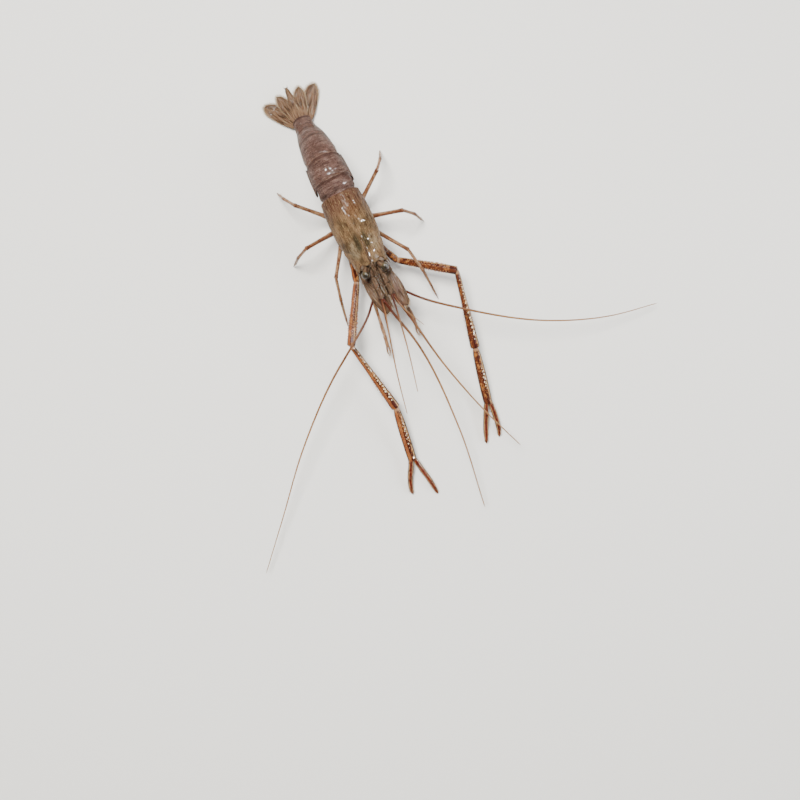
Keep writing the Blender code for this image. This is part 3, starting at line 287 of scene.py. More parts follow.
def piece(name, patches, look, slot, *nodes):
    """Joins patches into one object with the named look, rides it on the model's only body and lets it stand for
    its nodes. A piece of bristles also carries its unwrap."""
    shift = np.cumsum([0] + [len(patch["co"]) for patch in patches])
    co, lie = (np.concatenate([patch[part] for patch in patches]) for part in ("co", "lie"))
    quads, tris = (
        np.concatenate([patch[part] + k for patch, k in zip(patches, shift)]) for part in ("quads", "tris")
    )
    corners = np.concatenate([quads.ravel(), tris.ravel()]).astype(np.int32)
    starts = np.concatenate([np.arange(len(quads)) * 4, len(quads) * 4 + np.arange(len(tris)) * 3])
    mesh = bpy.data.meshes.new(name)
    for group, count, part, values in (
        (mesh.vertices, len(co), "co", world(co).astype(np.float32)),
        (mesh.loops, len(corners), "vertex_index", corners),
        (mesh.polygons, len(starts), "loop_start", starts.astype(np.int32)),
    ):
        group.add(count)
        group.foreach_set(part, values.ravel())
    mesh.update(calc_edges=True)
    places = mesh.attributes.new("lie", "FLOAT_VECTOR", "POINT").data
    places.foreach_set("vector", lie.astype(np.float32).ravel())
    if look == "bristle":
        flat = np.concatenate([patch["unwrap"] for patch in patches])[corners]
        mesh.uv_layers.new(name="OFBake").uv.foreach_set("vector", flat.astype(np.float32).ravel())
    mesh.shade_smooth()
    mesh.materials.append(LOOKS[look])
    obj = bpy.data.objects.new(name, mesh)
    bpy.context.scene.collection.objects.link(obj)
    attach(obj, "root")
    if nodes:
        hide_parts(*nodes)


# Finishes. Patterns read the place in the animal's frame, in millimetres, or the lie of a form.

WET = 0.55  # the light that a wet shell gives back, as a share of what it gives back dry
WATER_IOR = 1.33
WATER_ROUGHNESS = 0.09
RIPPLE_HEIGHT = 0.32
GLOW_DEPTH = 1.2  # how far light spreads under the surface, in millimetres, and how much of red, green and blue
GLOW_COLOURS = (1.0, 0.55, 0.35)


def paint(red, green, blue, wet=WET):
    """A colour given on the 0 to 255 scale of a screen, as the linear values that a shader takes."""
    c = np.array([red, green, blue]) / 255.0
    return (*(wet * np.where(c <= 0.04045, c / 12.92, ((c + 0.055) / 1.055) ** 2.4)), 1.0)


class Finish:
    """One material, whose colour is built up in layers, and short calls that add and join its nodes."""

    def __init__(self, name, roughness, coat, subsurface=0.0, specular=0.24):
        self.material = bpy.data.materials.new(name)
        self.material.use_nodes = True
        self.tree = self.material.node_tree
        self.shader = self.tree.nodes["Principled BSDF"]
        for socket, value in {
            "Roughness": roughness, "Specular IOR Level": specular,
            "Coat Weight": coat, "Coat Roughness": WATER_ROUGHNESS, "Coat IOR": WATER_IOR,
            "Subsurface Weight": subsurface, "Subsurface Radius": GLOW_COLOURS,
            "Subsurface Scale": GLOW_DEPTH * MM,
        }.items():
            self.shader.inputs[socket].default_value = value

    def add(self, kind, inputs, **settings):
        """A new node: each input is joined to a socket, or set to a value."""
        made = self.tree.nodes.new(kind)
        for key, value in settings.items():
            setattr(made, key, value)
        for key, value in inputs.items():
            if isinstance(value, bpy.types.NodeSocket):
                self.tree.links.new(value, made.inputs[key])
            else:
                made.inputs[key].default_value = value
        return made

    def place(self, *stretch):
        """The place in the animal's frame, in millimetres, times stretch."""
        stretch = np.array(stretch or (1, 1, 1), float)
        return self.add("ShaderNodeMapping", {
            "Vector": self.add("ShaderNodeTexCoord", {}).outputs["Object"],
            "Scale": tuple(stretch / MM),
            "Location": tuple(-ORIGIN / MM * stretch),
        }).outputs[0]

    def lie(self, *stretch):
        """The lie of the form, times stretch."""
        source = self.add("ShaderNodeAttribute", {}, attribute_name="lie").outputs["Vector"]
        return self.add("ShaderNodeMapping", {"Vector": source, "Scale": stretch or (1, 1, 1)}).outputs[0]

    def parts(self, vector):
        """The x, y and z of a vector."""
        return self.add("ShaderNodeSeparateXYZ", {"Vector": vector}).outputs

    def noise(self, vector, scale, detail=3.0, roughness=0.55, distortion=0.0):
        """A soft random value, from 0 to 1 and mostly near the middle."""
        return self.add("ShaderNodeTexNoise", {
            "Vector": vector, "Scale": scale, "Detail": detail, "Roughness": roughness, "Distortion": distortion,
        }).outputs["Fac"]

    def cells(self, vector, scale):
        """The distance to the nearest of many scattered centres."""
        return self.add("ShaderNodeTexVoronoi", {"Vector": vector, "Scale": scale}).outputs["Distance"]

    def calc(self, operation, a, b=0.0):
        """One step of arithmetic."""
        return self.add("ShaderNodeMath", {0: a, 1: b}, operation=operation).outputs[0]

    def plus(self, a, b):
        """a + b"""
        return self.calc("ADD", a, b)

    def times(self, a, b):
        """a times b"""
        return self.calc("MULTIPLY", a, b)

    def between(self, value, low, high, to_low=0.0, to_high=1.0):
        """A smooth step of a value: to_low at low, to_high at high."""
        return self.add("ShaderNodeMapRange", {
            "Value": value, "From Min": low, "From Max": high, "To Min": to_low, "To Max": to_high,
        }, interpolation_type="SMOOTHSTEP").outputs[0]

    def band(self, value, low, high, soft):
        """1 where the value lies between low and high, with soft edges."""
        return self.times(self.between(value, low - soft, low), self.between(value, high + soft, high))

    def spot(self, x, y, middle, reach):
        """1 at a place on the back seen from above, fading to 0 at an ellipse whose half-axes are reach."""
        across, along = (
            self.calc("DIVIDE", self.calc("SUBTRACT", value, centre), half)
            for value, centre, half in zip((x, y), middle, reach)
        )
        return self.between(self.plus(self.times(across, across), self.times(along, along)), 1.0, 0.1)

    def speckles(self, vector, scale, size, thinning):
        """Small colour cells: dots of a given size round scattered centres, thinned out by a slow noise."""
        dots = self.between(self.cells(vector, scale), size, size * 0.45)
        return self.times(dots, self.between(self.noise(vector, 0.35), thinning - 0.1, thinning + 0.1))

    def mix(self, share, a, b):
        """Colour a where share is 0 and colour b where it is 1."""
        return self.add("ShaderNodeMix", {0: share, 6: a, 7: b}, data_type="RGBA").outputs[2]

    def ground(self, share, dark, light):
        """The colour under all layers: dark where share is 0, light where it is 1."""
        self.colour = self.mix(share, paint(*dark), paint(*light))

    def lay(self, mask, strength, colour):
        """A layer of colour over the ones before, where the mask is 1 and as strong as given."""
        over = colour if isinstance(colour, bpy.types.NodeSocket) else paint(*colour)
        self.colour = self.mix(self.times(mask, strength), self.colour, over)

    def join(self, value, socket):
        """Joins a value to one of the shader's own sockets."""
        self.tree.links.new(value, self.shader.inputs[socket])

    def bumps(self, height, strength, distance, socket):
        """Bumps of a height, times a distance in millimetres, in one of the shader's two normals."""
        bump = self.add("ShaderNodeBump", {"Height": height, "Strength": strength, "Distance": distance * MM})
        self.join(bump.outputs[0], socket)

    def relief(self, height, strength, distance):
        """Bumps in the shell, and a film of water over it whose own slow ripples break the glints up."""
        self.bumps(height, strength, distance, "Normal")
        slow = self.noise(self.place(), 0.55, 2.0, 0.4, 1.0)
        small = self.noise(self.place(), 1.6, 1.0)
        self.bumps(self.plus(slow, self.times(small, 0.06)), 1.0, RIPPLE_HEIGHT, "Coat Normal")

    def done(self):
        """The material, with its layers of colour joined."""
        self.join(self.colour, "Base Color")
        return self.material


def olive_shell():
    """The shield: olive-tan, with fine dark streaks that run along it, thin pale ones, and dots of colour cells.
    It is warmer low on the flanks and in a patch ahead of its rear, red-brown at the rear and dull at the head.
    The organs show through as a dark blotch either side of the beak's root, with a pale patch outside each."""
    finish = Finish("olive_shell", 0.46, 0.32, subsurface=0.15, specular=0.0)
    x, y, z = finish.parts(finish.place())
    aside = finish.calc("ABSOLUTE", x)
    cloud = finish.noise(finish.place(0.42, 0.2, 0.42), 1.0, 5.0, 0.6)
    fine = finish.noise(finish.place(5.0, 0.42, 5.0), 1.0, 4.0, 0.62, 1.1)
    broad = finish.noise(finish.place(1.7, 0.17, 1.7), 1.0, 5.0, 0.62, 1.3)
    blotch = finish.noise(finish.place(0.7, 0.45, 0.7), 1.0, 5.0, 0.65, 1.0)
    finish.ground(finish.between(cloud, 0.34, 0.68), (92, 72, 50), (157, 124, 90))
    finish.lay(finish.between(z, 17.5, 12.5), 0.5, (148, 106, 76))
    finish.lay(finish.between(z, 12.0, 9.5), 0.4, (164, 126, 88))
    finish.lay(finish.between(finish.plus(y, finish.times(cloud, 3.0)), 14.0, 20.0), 0.9, (106, 74, 58))
    finish.lay(finish.spot(x, y, (0.9, 15.6), (2.4, 3.2)), 0.4, (134, 90, 56))
    finish.lay(finish.spot(aside, y, (2.6, 6.2), (1.6, 3.0)), 0.5, (168, 150, 120))
    finish.lay(finish.between(y, 4.5, -2.0), 0.6, (118, 98, 70))
    organs = finish.add("ShaderNodeCombineXYZ", {
        0: finish.times(finish.calc("SUBTRACT", aside, 1.15), 1.35),
        1: finish.times(finish.calc("SUBTRACT", y, 7.4), 0.42),
        2: finish.times(finish.calc("SUBTRACT", finish.noise(finish.place(), 0.9), 0.5), 1.6),
    }).outputs[0]
    away = finish.add("ShaderNodeVectorMath", {0: organs}, operation="LENGTH").outputs["Value"]
    finish.lay(finish.between(away, 1.5, 0.5), 0.85, (50, 50, 36))
    finish.lay(finish.between(blotch, 0.54, 0.66), 0.45, (86, 62, 38))
    finish.lay(finish.between(fine, 0.52, 0.66), 0.75, (58, 40, 24))
    finish.lay(finish.between(broad, 0.54, 0.64), 0.7, (62, 42, 26))
    finish.lay(finish.between(fine, 0.45, 0.3), 0.5, (200, 172, 124))
    finish.lay(finish.speckles(finish.place(1.0, 0.9, 1.0), 4.2, 0.3, 0.46), 0.5, (72, 44, 26))
    finish.lay(finish.speckles(finish.place(1.0, 0.8, 1.0), 2.0, 0.27, 0.42), 0.8, (50, 30, 18))
    finish.join(finish.between(cloud, 0.3, 0.75, 0.36, 0.52), "Roughness")
    grain = finish.noise(finish.place(3.0, 1.6, 3.0), 1.4, 5.0)
    finish.relief(finish.plus(grain, finish.times(fine, 0.5)), 0.25, 0.12)
    return finish.done()


def tail_shell():
    """The tail rings: mauve-brown, dusted with fine dark and pale dots, some of them in rows across, and more
    yellow low on the flaps. A broken pale line marks each hind edge, its own pale margin with a painted highlight
    along the rounded rim, with a dark band ahead of it."""
    finish = Finish("tail_shell", 0.46, 0.32, subsurface=0.15, specular=0.0)
    share, turn, _ = finish.parts(finish.lie())
    cloud = finish.noise(finish.place(0.45, 0.45, 0.45), 1.0, 4.0)
    rows = finish.noise(finish.lie(13.0, 4.2, 5.0), 1.0, 4.0, 0.7, 0.6)
    fine = finish.noise(finish.place(1.0, 2.6, 1.0), 2.6, 4.0, 0.7, 0.6)
    finish.ground(finish.between(cloud, 0.32, 0.68), (92, 69, 62), (124, 96, 87))
    finish.lay(finish.between(finish.calc("ABSOLUTE", turn), 0.5, 1.0), 0.4, (112, 86, 68))
    finish.lay(finish.between(rows, 0.51, 0.61), 0.6, (60, 40, 33))
    finish.lay(finish.between(rows, 0.45, 0.37), 0.45, (164, 134, 118))
    finish.lay(finish.between(fine, 0.52, 0.64), 0.6, (56, 36, 29))
    finish.lay(finish.between(fine, 0.45, 0.34), 0.45, (168, 136, 118))
    finish.lay(finish.speckles(finish.place(), 2.6, 0.27, 0.42), 0.75, (44, 26, 20))
    finish.lay(finish.speckles(finish.place(), 5.0, 0.3, 0.46), 0.5, (50, 32, 26))
    # Pale line along each ring's hind edge: its own pale margin with a painted highlight along the rounded rim.
    edge = finish.times(finish.between(share, 0.95, 0.99), finish.between(rows, 0.6, 0.44))
    finish.lay(edge, 0.35, (166, 136, 110))
    finish.lay(finish.band(share, 0.87, 0.94, 0.04), 0.6, (62, 40, 33))
    finish.join(finish.between(rows, 0.3, 0.7, 0.34, 0.5), "Roughness")
    finish.relief(finish.noise(finish.place(1.5, 1.5, 1.5), 1.6, 4.0), 0.2, 0.1)
    return finish.done()


def arm_shell():
    """The long arms. The lie's y is 0 on top and goes from -0.25 on the animal's left to 0.25 on its right. A
    copper band, stronger on the right arm, lies right of the top and a dark red one left of it, with a dark line
    between and gold flecks over both. A thin pale gold line, partly the edge's own pale margin and partly a
    painted highlight along it, marks the left edge and both edges of a finger, with a dark band outside. The
    underside is cream, the soft skin at a length's start is tan, and the fingers, whose z is 1, are deep red."""
    finish = Finish("arm_shell", 0.42, 0.5, subsurface=0.04, specular=0.04)
    run, turn, claw = finish.parts(finish.lie())
    x, _, _ = finish.parts(finish.place())
    aside = finish.calc("ABSOLUTE", turn)
    patchy = finish.noise(finish.place(0.62, 0.62, 0.62), 1.0, 5.0, 0.62, 0.9)
    small = finish.noise(finish.place(2.2, 1.6, 2.2), 1.0, 4.0, 0.6, 0.5)
    wander = finish.times(finish.calc("SUBTRACT", patchy, 0.5), 0.09)
    line = finish.plus(turn, wander)
    finish.ground(small, (50, 17, 11), (94, 36, 22))
    copper = finish.times(finish.band(line, 0.03, 0.14, 0.02), finish.between(x, -3.0, 3.0, 1.0, 0.25))
    finish.lay(copper, finish.between(small, 0.62, 0.5, 0.55, 0.95), (164, 94, 55))
    gold = finish.times(finish.between(patchy, 0.52, 0.57), finish.between(small, 0.44, 0.52))
    finish.lay(gold, finish.band(line, -0.2, 0.2, 0.03), (186, 120, 64))
    finish.lay(finish.band(line, 0.0, 0.02, 0.012), 0.8, (46, 18, 12))
    finger = finish.between(claw, 0.6, 0.9)
    finish.lay(finger, 0.9, finish.mix(finish.between(small, 0.35, 0.65), paint(66, 13, 6), paint(124, 34, 13)))
    # Pale gold line along the left edge and both finger edges: the edge's own pale margin with a painted highlight
    # along it.
    rim = finish.band(finish.plus(aside, finish.times(wander, 0.3)), 0.098, 0.122, 0.012)
    rim = finish.times(rim, finish.between(small, 0.4, 0.5, 0.1, 0.95))
    finish.lay(rim, finish.calc("MAXIMUM", finish.between(turn, 0.02, -0.02), finger), (232, 188, 128))
    finish.lay(finish.band(aside, 0.145, 0.3, 0.008), finish.between(small, 0.6, 0.48, 0.5, 0.9), (52, 20, 13))
    finish.lay(finish.between(aside, 0.33, 0.45), 0.75, (200, 156, 112))
    soft = finish.times(finish.between(run, 1.5, 0.8), finish.between(claw, 0.8, 0.5))
    finish.lay(soft, 0.8, (190, 146, 108))
    finish.join(finish.between(small, 0.3, 0.7, 0.34, 0.55), "Roughness")
    finish.relief(finish.plus(small, finish.times(finish.cells(finish.place(), 3.2), -0.6)), 0.5, 0.14)
    return finish.done()


def spine_horn():
    """The arms' spines: copper at the root and pale horn at the point (x of the lie). The beads, whose z is 1 or
    more, are pale cream, near white: their own pale tint with painted glints in it."""
    finish = Finish("spine_horn", 0.34, 0.8, subsurface=0.1)
    share, _, own = finish.parts(finish.lie())
    finish.ground(finish.between(own, 0.0, 1.0), (158, 80, 40), (214, 132, 70))
    finish.lay(finish.between(share, 0.35, 1.0), 1.0, (216, 158, 98))
    # Near-white bead colour, brighter than the other wet paints: the beads' own pale cream tint with painted
    # glints.
    own_share = finish.between(own, 1.0, 2.0)
    ivory_and_glint = finish.mix(own_share, paint(240, 206, 150, wet=0.75), paint(250, 238, 212, wet=0.85))
    finish.lay(finish.between(own, 0.97, 0.99), 1.0, ivory_and_glint)
    return finish.done()


def leg_shell():
    """Legs: pinkish tan and half clear, with red-brown stripes along them and dark bands (z of the lie)."""
    finish = Finish("leg_shell", 0.42, 0.5, subsurface=0.2, specular=0.04)
    _, turn, band = finish.parts(finish.lie())
    cloud = finish.noise(finish.place(0.8, 0.8, 0.8), 1.0, 4.0)
    stripe = finish.noise(finish.lie(0.22, 9.0, 3.0), 1.0, 3.0, 0.6, 0.3)
    finish.ground(finish.between(cloud, 0.35, 0.65), (148, 102, 72), (194, 154, 116))
    finish.lay(finish.band(finish.calc("ABSOLUTE", turn), 0.2, 0.32, 0.08), 0.6, (124, 58, 34))
    finish.lay(finish.between(stripe, 0.52, 0.6), 0.8, (104, 52, 33))
    finish.lay(finish.between(cloud, 0.56, 0.64), 0.5, (90, 44, 28))
    finish.lay(band, 0.7, (96, 50, 32))
    finish.lay(finish.speckles(finish.place(), 3.0, 0.2, 0.5), 0.6, (74, 34, 20))
    finish.relief(finish.noise(finish.place(), 2.6, 3.0), 0.25, 0.08)
    return finish.done()


def feeler_shell():
    """Feelers: fine rings all along, red-brown at the root and straw-tan towards the tip (z of the lie)."""
    finish = Finish("feeler", 0.36, 0.4, subsurface=0.1, specular=0.04)
    run, _, share = finish.parts(finish.lie())
    cloud = finish.noise(finish.lie(0.16, 0.0, 3.0), 1.0, 4.0)
    where = finish.plus(share, finish.times(finish.calc("SUBTRACT", cloud, 0.5), 0.5))
    finish.ground(finish.between(where, 0.02, 0.55), (92, 42, 28), (184, 136, 88))
    rings = finish.calc("SINE", finish.times(run, 2 * math.pi / 0.42))
    finish.lay(finish.between(rings, 0.2, 0.9), 0.4, (70, 34, 22))
    finish.relief(rings, 0.35, 0.05)
    return finish.done()


def thin_shell():
    """Beak, scales, stalks, swimmerets and fan: grey-tan and half clear, darker at the head, with ribs along them
    and scattered dark and pale cells."""
    finish = Finish("thin_shell", 0.42, 0.4, subsurface=0.2, specular=0.0)
    _, y, _ = finish.parts(finish.place())
    cloud = finish.noise(finish.place(0.6, 0.6, 0.6), 1.0, 4.0)
    lines = finish.noise(finish.lie(0.25, 7.0, 2.0), 1.0, 4.0, 0.6, 0.2)
    finish.ground(cloud, (108, 82, 62), (154, 122, 96))
    finish.lay(finish.between(y, 6.0, 1.0), 0.6, (94, 74, 58))
    finish.lay(finish.between(lines, 0.48, 0.58), 0.8, (58, 41, 30))
    finish.lay(finish.between(lines, 0.42, 0.34), 0.5, (196, 172, 134))
    finish.lay(finish.speckles(finish.place(1.0, 0.8, 1.0), 1.9, 0.26, 0.45), 0.75, (62, 40, 28))
    finish.lay(finish.speckles(finish.place(0.9, 0.9, 0.9), 1.3, 0.16, 0.5), 0.7, (222, 210, 184))
    finish.relief(finish.plus(lines, finish.times(cloud, 0.4)), 0.35, 0.1)
    return finish.done()


def eye_shell():
    """Eyes: black-brown under a clear coat, with an olive-gold mottle that fades where the lie's z is low."""
    finish = Finish("eye", 0.3, 0.8, specular=0.4)
    mottle = finish.noise(finish.place(1.7, 1.7, 1.7), 1.0, 5.0, 0.7, 1.4)
    _, _, value = finish.parts(finish.lie())
    ring = finish.times(finish.between(mottle, 0.48, 0.56), finish.between(value, 0.1, 0.6, 0.2, 1.0))
    finish.ground(mottle, (10, 8, 6), (44, 34, 22))
    finish.lay(ring, 0.75, (124, 106, 68))
    finish.relief(finish.cells(finish.place(), 14.0), 0.2, 0.02)
    return finish.done()


def membrane():
    """Soft skin at the joints and under the chest: pale grey-tan with a faint blush."""
    finish = Finish("membrane", 0.38, 0.6, subsurface=0.35)
    finish.ground(finish.noise(finish.place(), 1.0, 4.0), (150, 116, 92), (196, 168, 138))
    finish.relief(finish.noise(finish.place(), 3.0, 3.0), 0.3, 0.08)
    return finish.done()


def bristle():
    """Fringes and bristles: straw-brown, darker at the root, some darker than others."""
    finish = Finish("bristle", 0.5, 0.2, subsurface=0.1)
    share, _, own = finish.parts(finish.lie())
    finish.ground(share, (168, 132, 92, 0.8), (222, 200, 162, 0.8))
    finish.lay(own, 0.35, (128, 88, 56))
    return finish.done()


LOOKS = {make.__name__: make() for make in (
    olive_shell, tail_shell, arm_shell, spine_horn, leg_shell, feeler_shell, thin_shell, eye_shell, membrane,
    bristle,
)}


# Head and chest shield, with the beak

GAP = 0.3
SHIELD_LENGTH = SHIELD_REAR_Y - SHIELD_FRONT_Y
SHIELD_STATIONS = (0.0, 0.12, 0.3, 0.5, 0.75, 0.9, 1.0)
SHIELD_HALF_WIDTHS = (4.1, 4.5, 5.05, 5.45, 5.5, 5.35, 5.1)
SHIELD_TOPS = (18.2, 18.7, 19.2, 19.6, 19.8, 19.7, 19.4)
SHIELD_MARGINS = (11.0, 10.2, 9.4, 8.8, 8.4, 8.7, 9.7)
SHIELD_EDGE = math.radians(130)
SHIELD_WAIST = 0.48
SHIELD_AXIS = (0.0, 0.0, 14.0)
SHIELD_THICKNESS = 0.3
SHIELD_CORNER = 2.6


def shield_at(share, turn):
    """Places on the shield's smooth form: x is the half width times sin(turn), and z goes from the widest height
    up by the top's height, or down by the margin's drop, times cos(turn)."""
    half, top, margin = (
        hermite(SHIELD_STATIONS, values, share) for values in (SHIELD_HALF_WIDTHS, SHIELD_TOPS, SHIELD_MARGINS)
    )
    waist = margin + SHIELD_WAIST * (top - margin)
    rise = np.where(np.abs(turn) <= math.pi / 2, top - waist, (waist - margin) / abs(math.cos(SHIELD_EDGE)))
    return joined(half * np.sin(turn), SHIELD_FRONT_Y + share * SHIELD_LENGTH, waist + rise * np.cos(turn))


def shield_patch():
    """The shield: its smooth form with an eye notch, rounded lower corners, the grooves behind the cheek, a low
    swelling over the gills and a bead along the free edges."""
    turn = cosine_steps(190, -SHIELD_EDGE, SHIELD_EDGE)[None, :]
    s = cosine_steps(150)[:, None]
    degrees = np.degrees(np.abs(turn))
    corner = ease((degrees - 96) / 34)
    front = 0.75 * hump(degrees, 40, 14) - 0.45 * hump(degrees, 66, 9) + SHIELD_CORNER * corner**1.5
    rear = 0.25 * hump(degrees, 0, 30) + SHIELD_CORNER * corner**1.7
    y = front + s * (SHIELD_LENGTH - front - rear)
    form = shield_at(y / SHIELD_LENGTH, turn)
    y = y + SHIELD_FRONT_Y
    normal = unit(form * [1, 0, 1] - SHIELD_AXIS)
    groove = hump(y - 0.045 * (degrees - 60), 6.4, 0.42) * ease((degrees - 34) / 16) * ease((112 - degrees) / 16)
    line = hump(degrees, 60 + 0.5 * (y - 10), 3.4) * ease((y - 7.5) / 2) * ease((19.5 - y) / 2)
    cheek = hump(y, 3.4 + 0.03 * (degrees - 70), 0.5) * hump(degrees, 86, 16)
    gills = hump(degrees, 96, 22) * np.sin(np.pi * s) ** 0.7
    ridge = hump(degrees, 0, 5.5) * ease((12.5 - y) / 5)
    bead = 0.09 * hump(degrees, 128.5, 1.6) + 0.08 * hump(y, SHIELD_REAR_Y - rear - 0.3, 0.22)
    height = -0.2 * groove - 0.13 * line - 0.12 * cheek + 0.16 * gills + 0.22 * ridge + bead
    lie = joined(s, turn / SHIELD_EDGE, 0.0)
    return plate(form + normal * height[..., None], normal, SHIELD_THICKNESS, lie, 0.16)


BEAK_TIP_Y = -10.8
BEAK_ROOT_Y = 9.0
BEAK_HALF_THICKNESS = 0.55
UPPER_TEETH = 12
LOWER_TEETH = 3


def beak_share(y):
    """How far along the beak y is, from 0 at its root to 1 at its tip."""
    return (BEAK_ROOT_Y - y) / (BEAK_ROOT_Y - BEAK_TIP_Y)


def beak_edges(y):
    """Lower and upper edge of the beak's blade at y: each runs smoothly through a few heights."""
    back = shield_at(np.clip((y - SHIELD_FRONT_Y) / SHIELD_LENGTH, 0, 1), 0.0)[..., 2]
    upper = hermite((0.0, 0.35, 0.6, 0.85, 1.0), (19.2, 19.6, 19.7, 19.3, 18.9), beak_share(y))
    lower = hermite((0.38, 0.6, 0.8, 1.0), (17.0, 16.9, 17.9, 18.7), beak_share(y))
    inside = ease((y - SHIELD_FRONT_Y) / 1.5)
    return lower + inside * (back - 0.9 - lower), np.maximum(upper, back * ease((y + 1) / 3) + 0.1)


def teeth_along(y, tips, width):
    """A row of teeth seen from the side: behind each tip the height grows from 0 to 1 as the share of the width to
    the power of 1.4, and ahead of it falls off at once."""
    ahead = y[:, None] - tips
    behind = (width - ahead) / width
    rise = np.clip(behind, 0, 1) ** 1.4 * np.clip(ahead / 0.1 + 1, 0, 1)
    return np.where(behind > 0, rise, 0).max(axis=1)[:, None]


def beak_patch():
    """The beak: a lens-shaped blade with a rib along each side. Both edges are cut into teeth, which lean forward
    by a share of their height."""
    y = np.linspace(BEAK_ROOT_Y + 1.5, BEAK_TIP_Y, 460)
    lower, upper = beak_edges(y)
    upper = upper - 0.5 * ease((y - BEAK_ROOT_Y + 1.0) / 2.5)
    along, middle, half = y[:, None], (lower + upper)[:, None] / 2, (upper - lower)[:, None] / 2
    angle = round_angles(44)
    lift = np.sin(angle)
    thick = BEAK_HALF_THICKNESS * (0.26 + 0.74 * ease((along - BEAK_TIP_Y) / 11.0))
    lens = 0.34 + 0.2 * np.cos(angle) ** 2 + 0.5 * hump(half * lift, -0.16 * half, 0.2)
    width = thick * lens * np.sign(np.cos(angle)) * np.abs(np.cos(angle)) ** 0.7
    upper_tips = np.linspace(BEAK_ROOT_Y - 2.2, BEAK_TIP_Y + 1.2, UPPER_TEETH)
    lower_tips = -4.0 - 2.3 * np.arange(LOWER_TEETH)
    share = np.clip(beak_share(along), 0, 1)
    above = teeth_along(y, upper_tips, 1.25) * (0.5 + 0.3 * np.sin(np.pi * share)) * ease((lift - 0.55) / 0.45)
    below = teeth_along(y, lower_tips, 1.5) * 0.5 * ease((-lift - 0.55) / 0.45)
    tooth = above - below
    point = ease((along - BEAK_TIP_Y) / 0.5) ** 0.5
    return skin(joined(width * point, along - 0.75 * np.abs(tooth), middle + (half * lift + tooth) * point))


CHEEK_SPINES = (  # root, tip and radius at the root
    ((3.55, 3.4, 14.9), (4.35, 0.1, 14.95), 0.36),
    ((4.35, 5.8, 13.4), (5.3, 2.9, 13.35), 0.34),
)


def cheek_spines():
    """Two forward spines on each cheek, each bowed a little outwards."""
    patches = []
    for sign in SIDES.values():
        for root, tip, radius in CHEEK_SPINES:
            root, tip = mirror(sign, *root), mirror(sign, *tip)
            path = run_through([root, root * 0.45 + tip * 0.55 + mirror(sign, 0.12, 0, 0), tip], 14)
            patches.append(tube(path, radius * (1 - np.linspace(0, 1, 14)) ** 0.8 + 0.012, around=12))
    return patches


def beak_hairs():
    """A short fringe between the teeth along the beak's upper edge."""
    y = np.linspace(BEAK_ROOT_Y - 1.0, BEAK_TIP_Y + 1.4, 150)
    _, upper = beak_edges(y)
    roots = joined(0.12 * np.sign(np.sin(37 * y)) * np.abs(np.sin(11 * y)), y, upper - 0.05)
    ways = joined(0.25 * np.sin(23 * y), -0.8, 0.9 + 0.2 * np.sin(17 * y))
    return spikes(roots, ways, 0.42 + 0.12 * np.sin(29 * y), 0.022, sides=4)


# Chest underside and the flesh inside the shield

HIPS = {  # each limb's place along the animal and the radius of its hip
    "jaw_leg": (5.0, 0.6), "leg1": (7.5, 0.66), "arm": (10.2, 1.0),
    "leg3": (13.2, 0.82), "leg4": (15.8, 0.82), "leg5": (18.3, 0.82),
}
HIP_INSETS = {"jaw_leg": 0.9, "leg1": 0.5}
HIP_DROP = 1.2
SHIELD_RIM = 0.8
MOUTH_PARTS = (((0.75, 3.1, 10.1), (0.8, 1.3, 1.0)), ((1.5, 4.6, 9.2), (0.75, 1.0, 0.7)))


def limb_root(hip, sign):
    """Where a limb meets its hip, which hangs inside the shield's lower edge."""
    y, radius = HIPS[hip]
    share = (y - SHIELD_FRONT_Y) / SHIELD_LENGTH
    half = float(hermite(SHIELD_STATIONS, SHIELD_HALF_WIDTHS, share))
    margin = float(hermite(SHIELD_STATIONS, SHIELD_MARGINS, share))
    aside = half * math.sin(SHIELD_EDGE) - SHIELD_RIM - GAP - HIP_INSETS.get(hip, 0.0) - radius
    return mirror(sign, aside, y, margin - HIP_DROP - GAP)


def chest_patches():
    """The flesh inside the shield, whose sections are the shield's own drawn in by a little, closed by a ribbed
    floor between the legs, with the mouth parts in front and a hip for each limb."""
    share = cosine_steps(90, -0.012, 0.985)[:, None]
    form = shield_at(share, np.linspace(-SHIELD_EDGE, SHIELD_EDGE, 60)[None, :])
    middle = form * [0, 1, 0] + SHIELD_AXIS
    shrink = 0.92 * (1 - (1 - np.clip((share + 0.012) / 0.06, 0, 1)) ** 2.0 * 0.35)
    form = middle + (form - middle) * shrink[..., None]
    across = np.linspace(-1, 1, 40)
    left, right = form[:, :1], form[:, -1:]
    floor = (left + right) / 2 - (right - left) / 2 * across[:, None]
    ribs = 0.16 * np.sin(2 * np.pi * (floor[..., 1] - 10.2) / 2.75) * (1 - across**4)
    floor[..., 2] += 0.55 - 0.35 * np.cos(across * np.pi / 2) + ribs
    patches = [skin(np.concatenate([form, floor], axis=1))]
    for hip, (_, radius) in HIPS.items():
        for sign in SIDES.values():
            root = limb_root(hip, sign)
            top = root + mirror(sign, 0.1, 0, GAP + HIP_DROP + 0.9)
            patches.append(limb(top, root, (0, 0.3, 0.62, 0.8, 1), np.array([0.9, 1.0, 0.92, 1.02, 0.8]) * radius,
                                around=22))
    patches += [ball(mirror(sign, *middle), radii) for sign in SIDES.values() for middle, radii in MOUTH_PARTS]
    return [*patches, ball((0, 1.9, 11.0), (0.9, 0.8, 0.9))]


# Tail

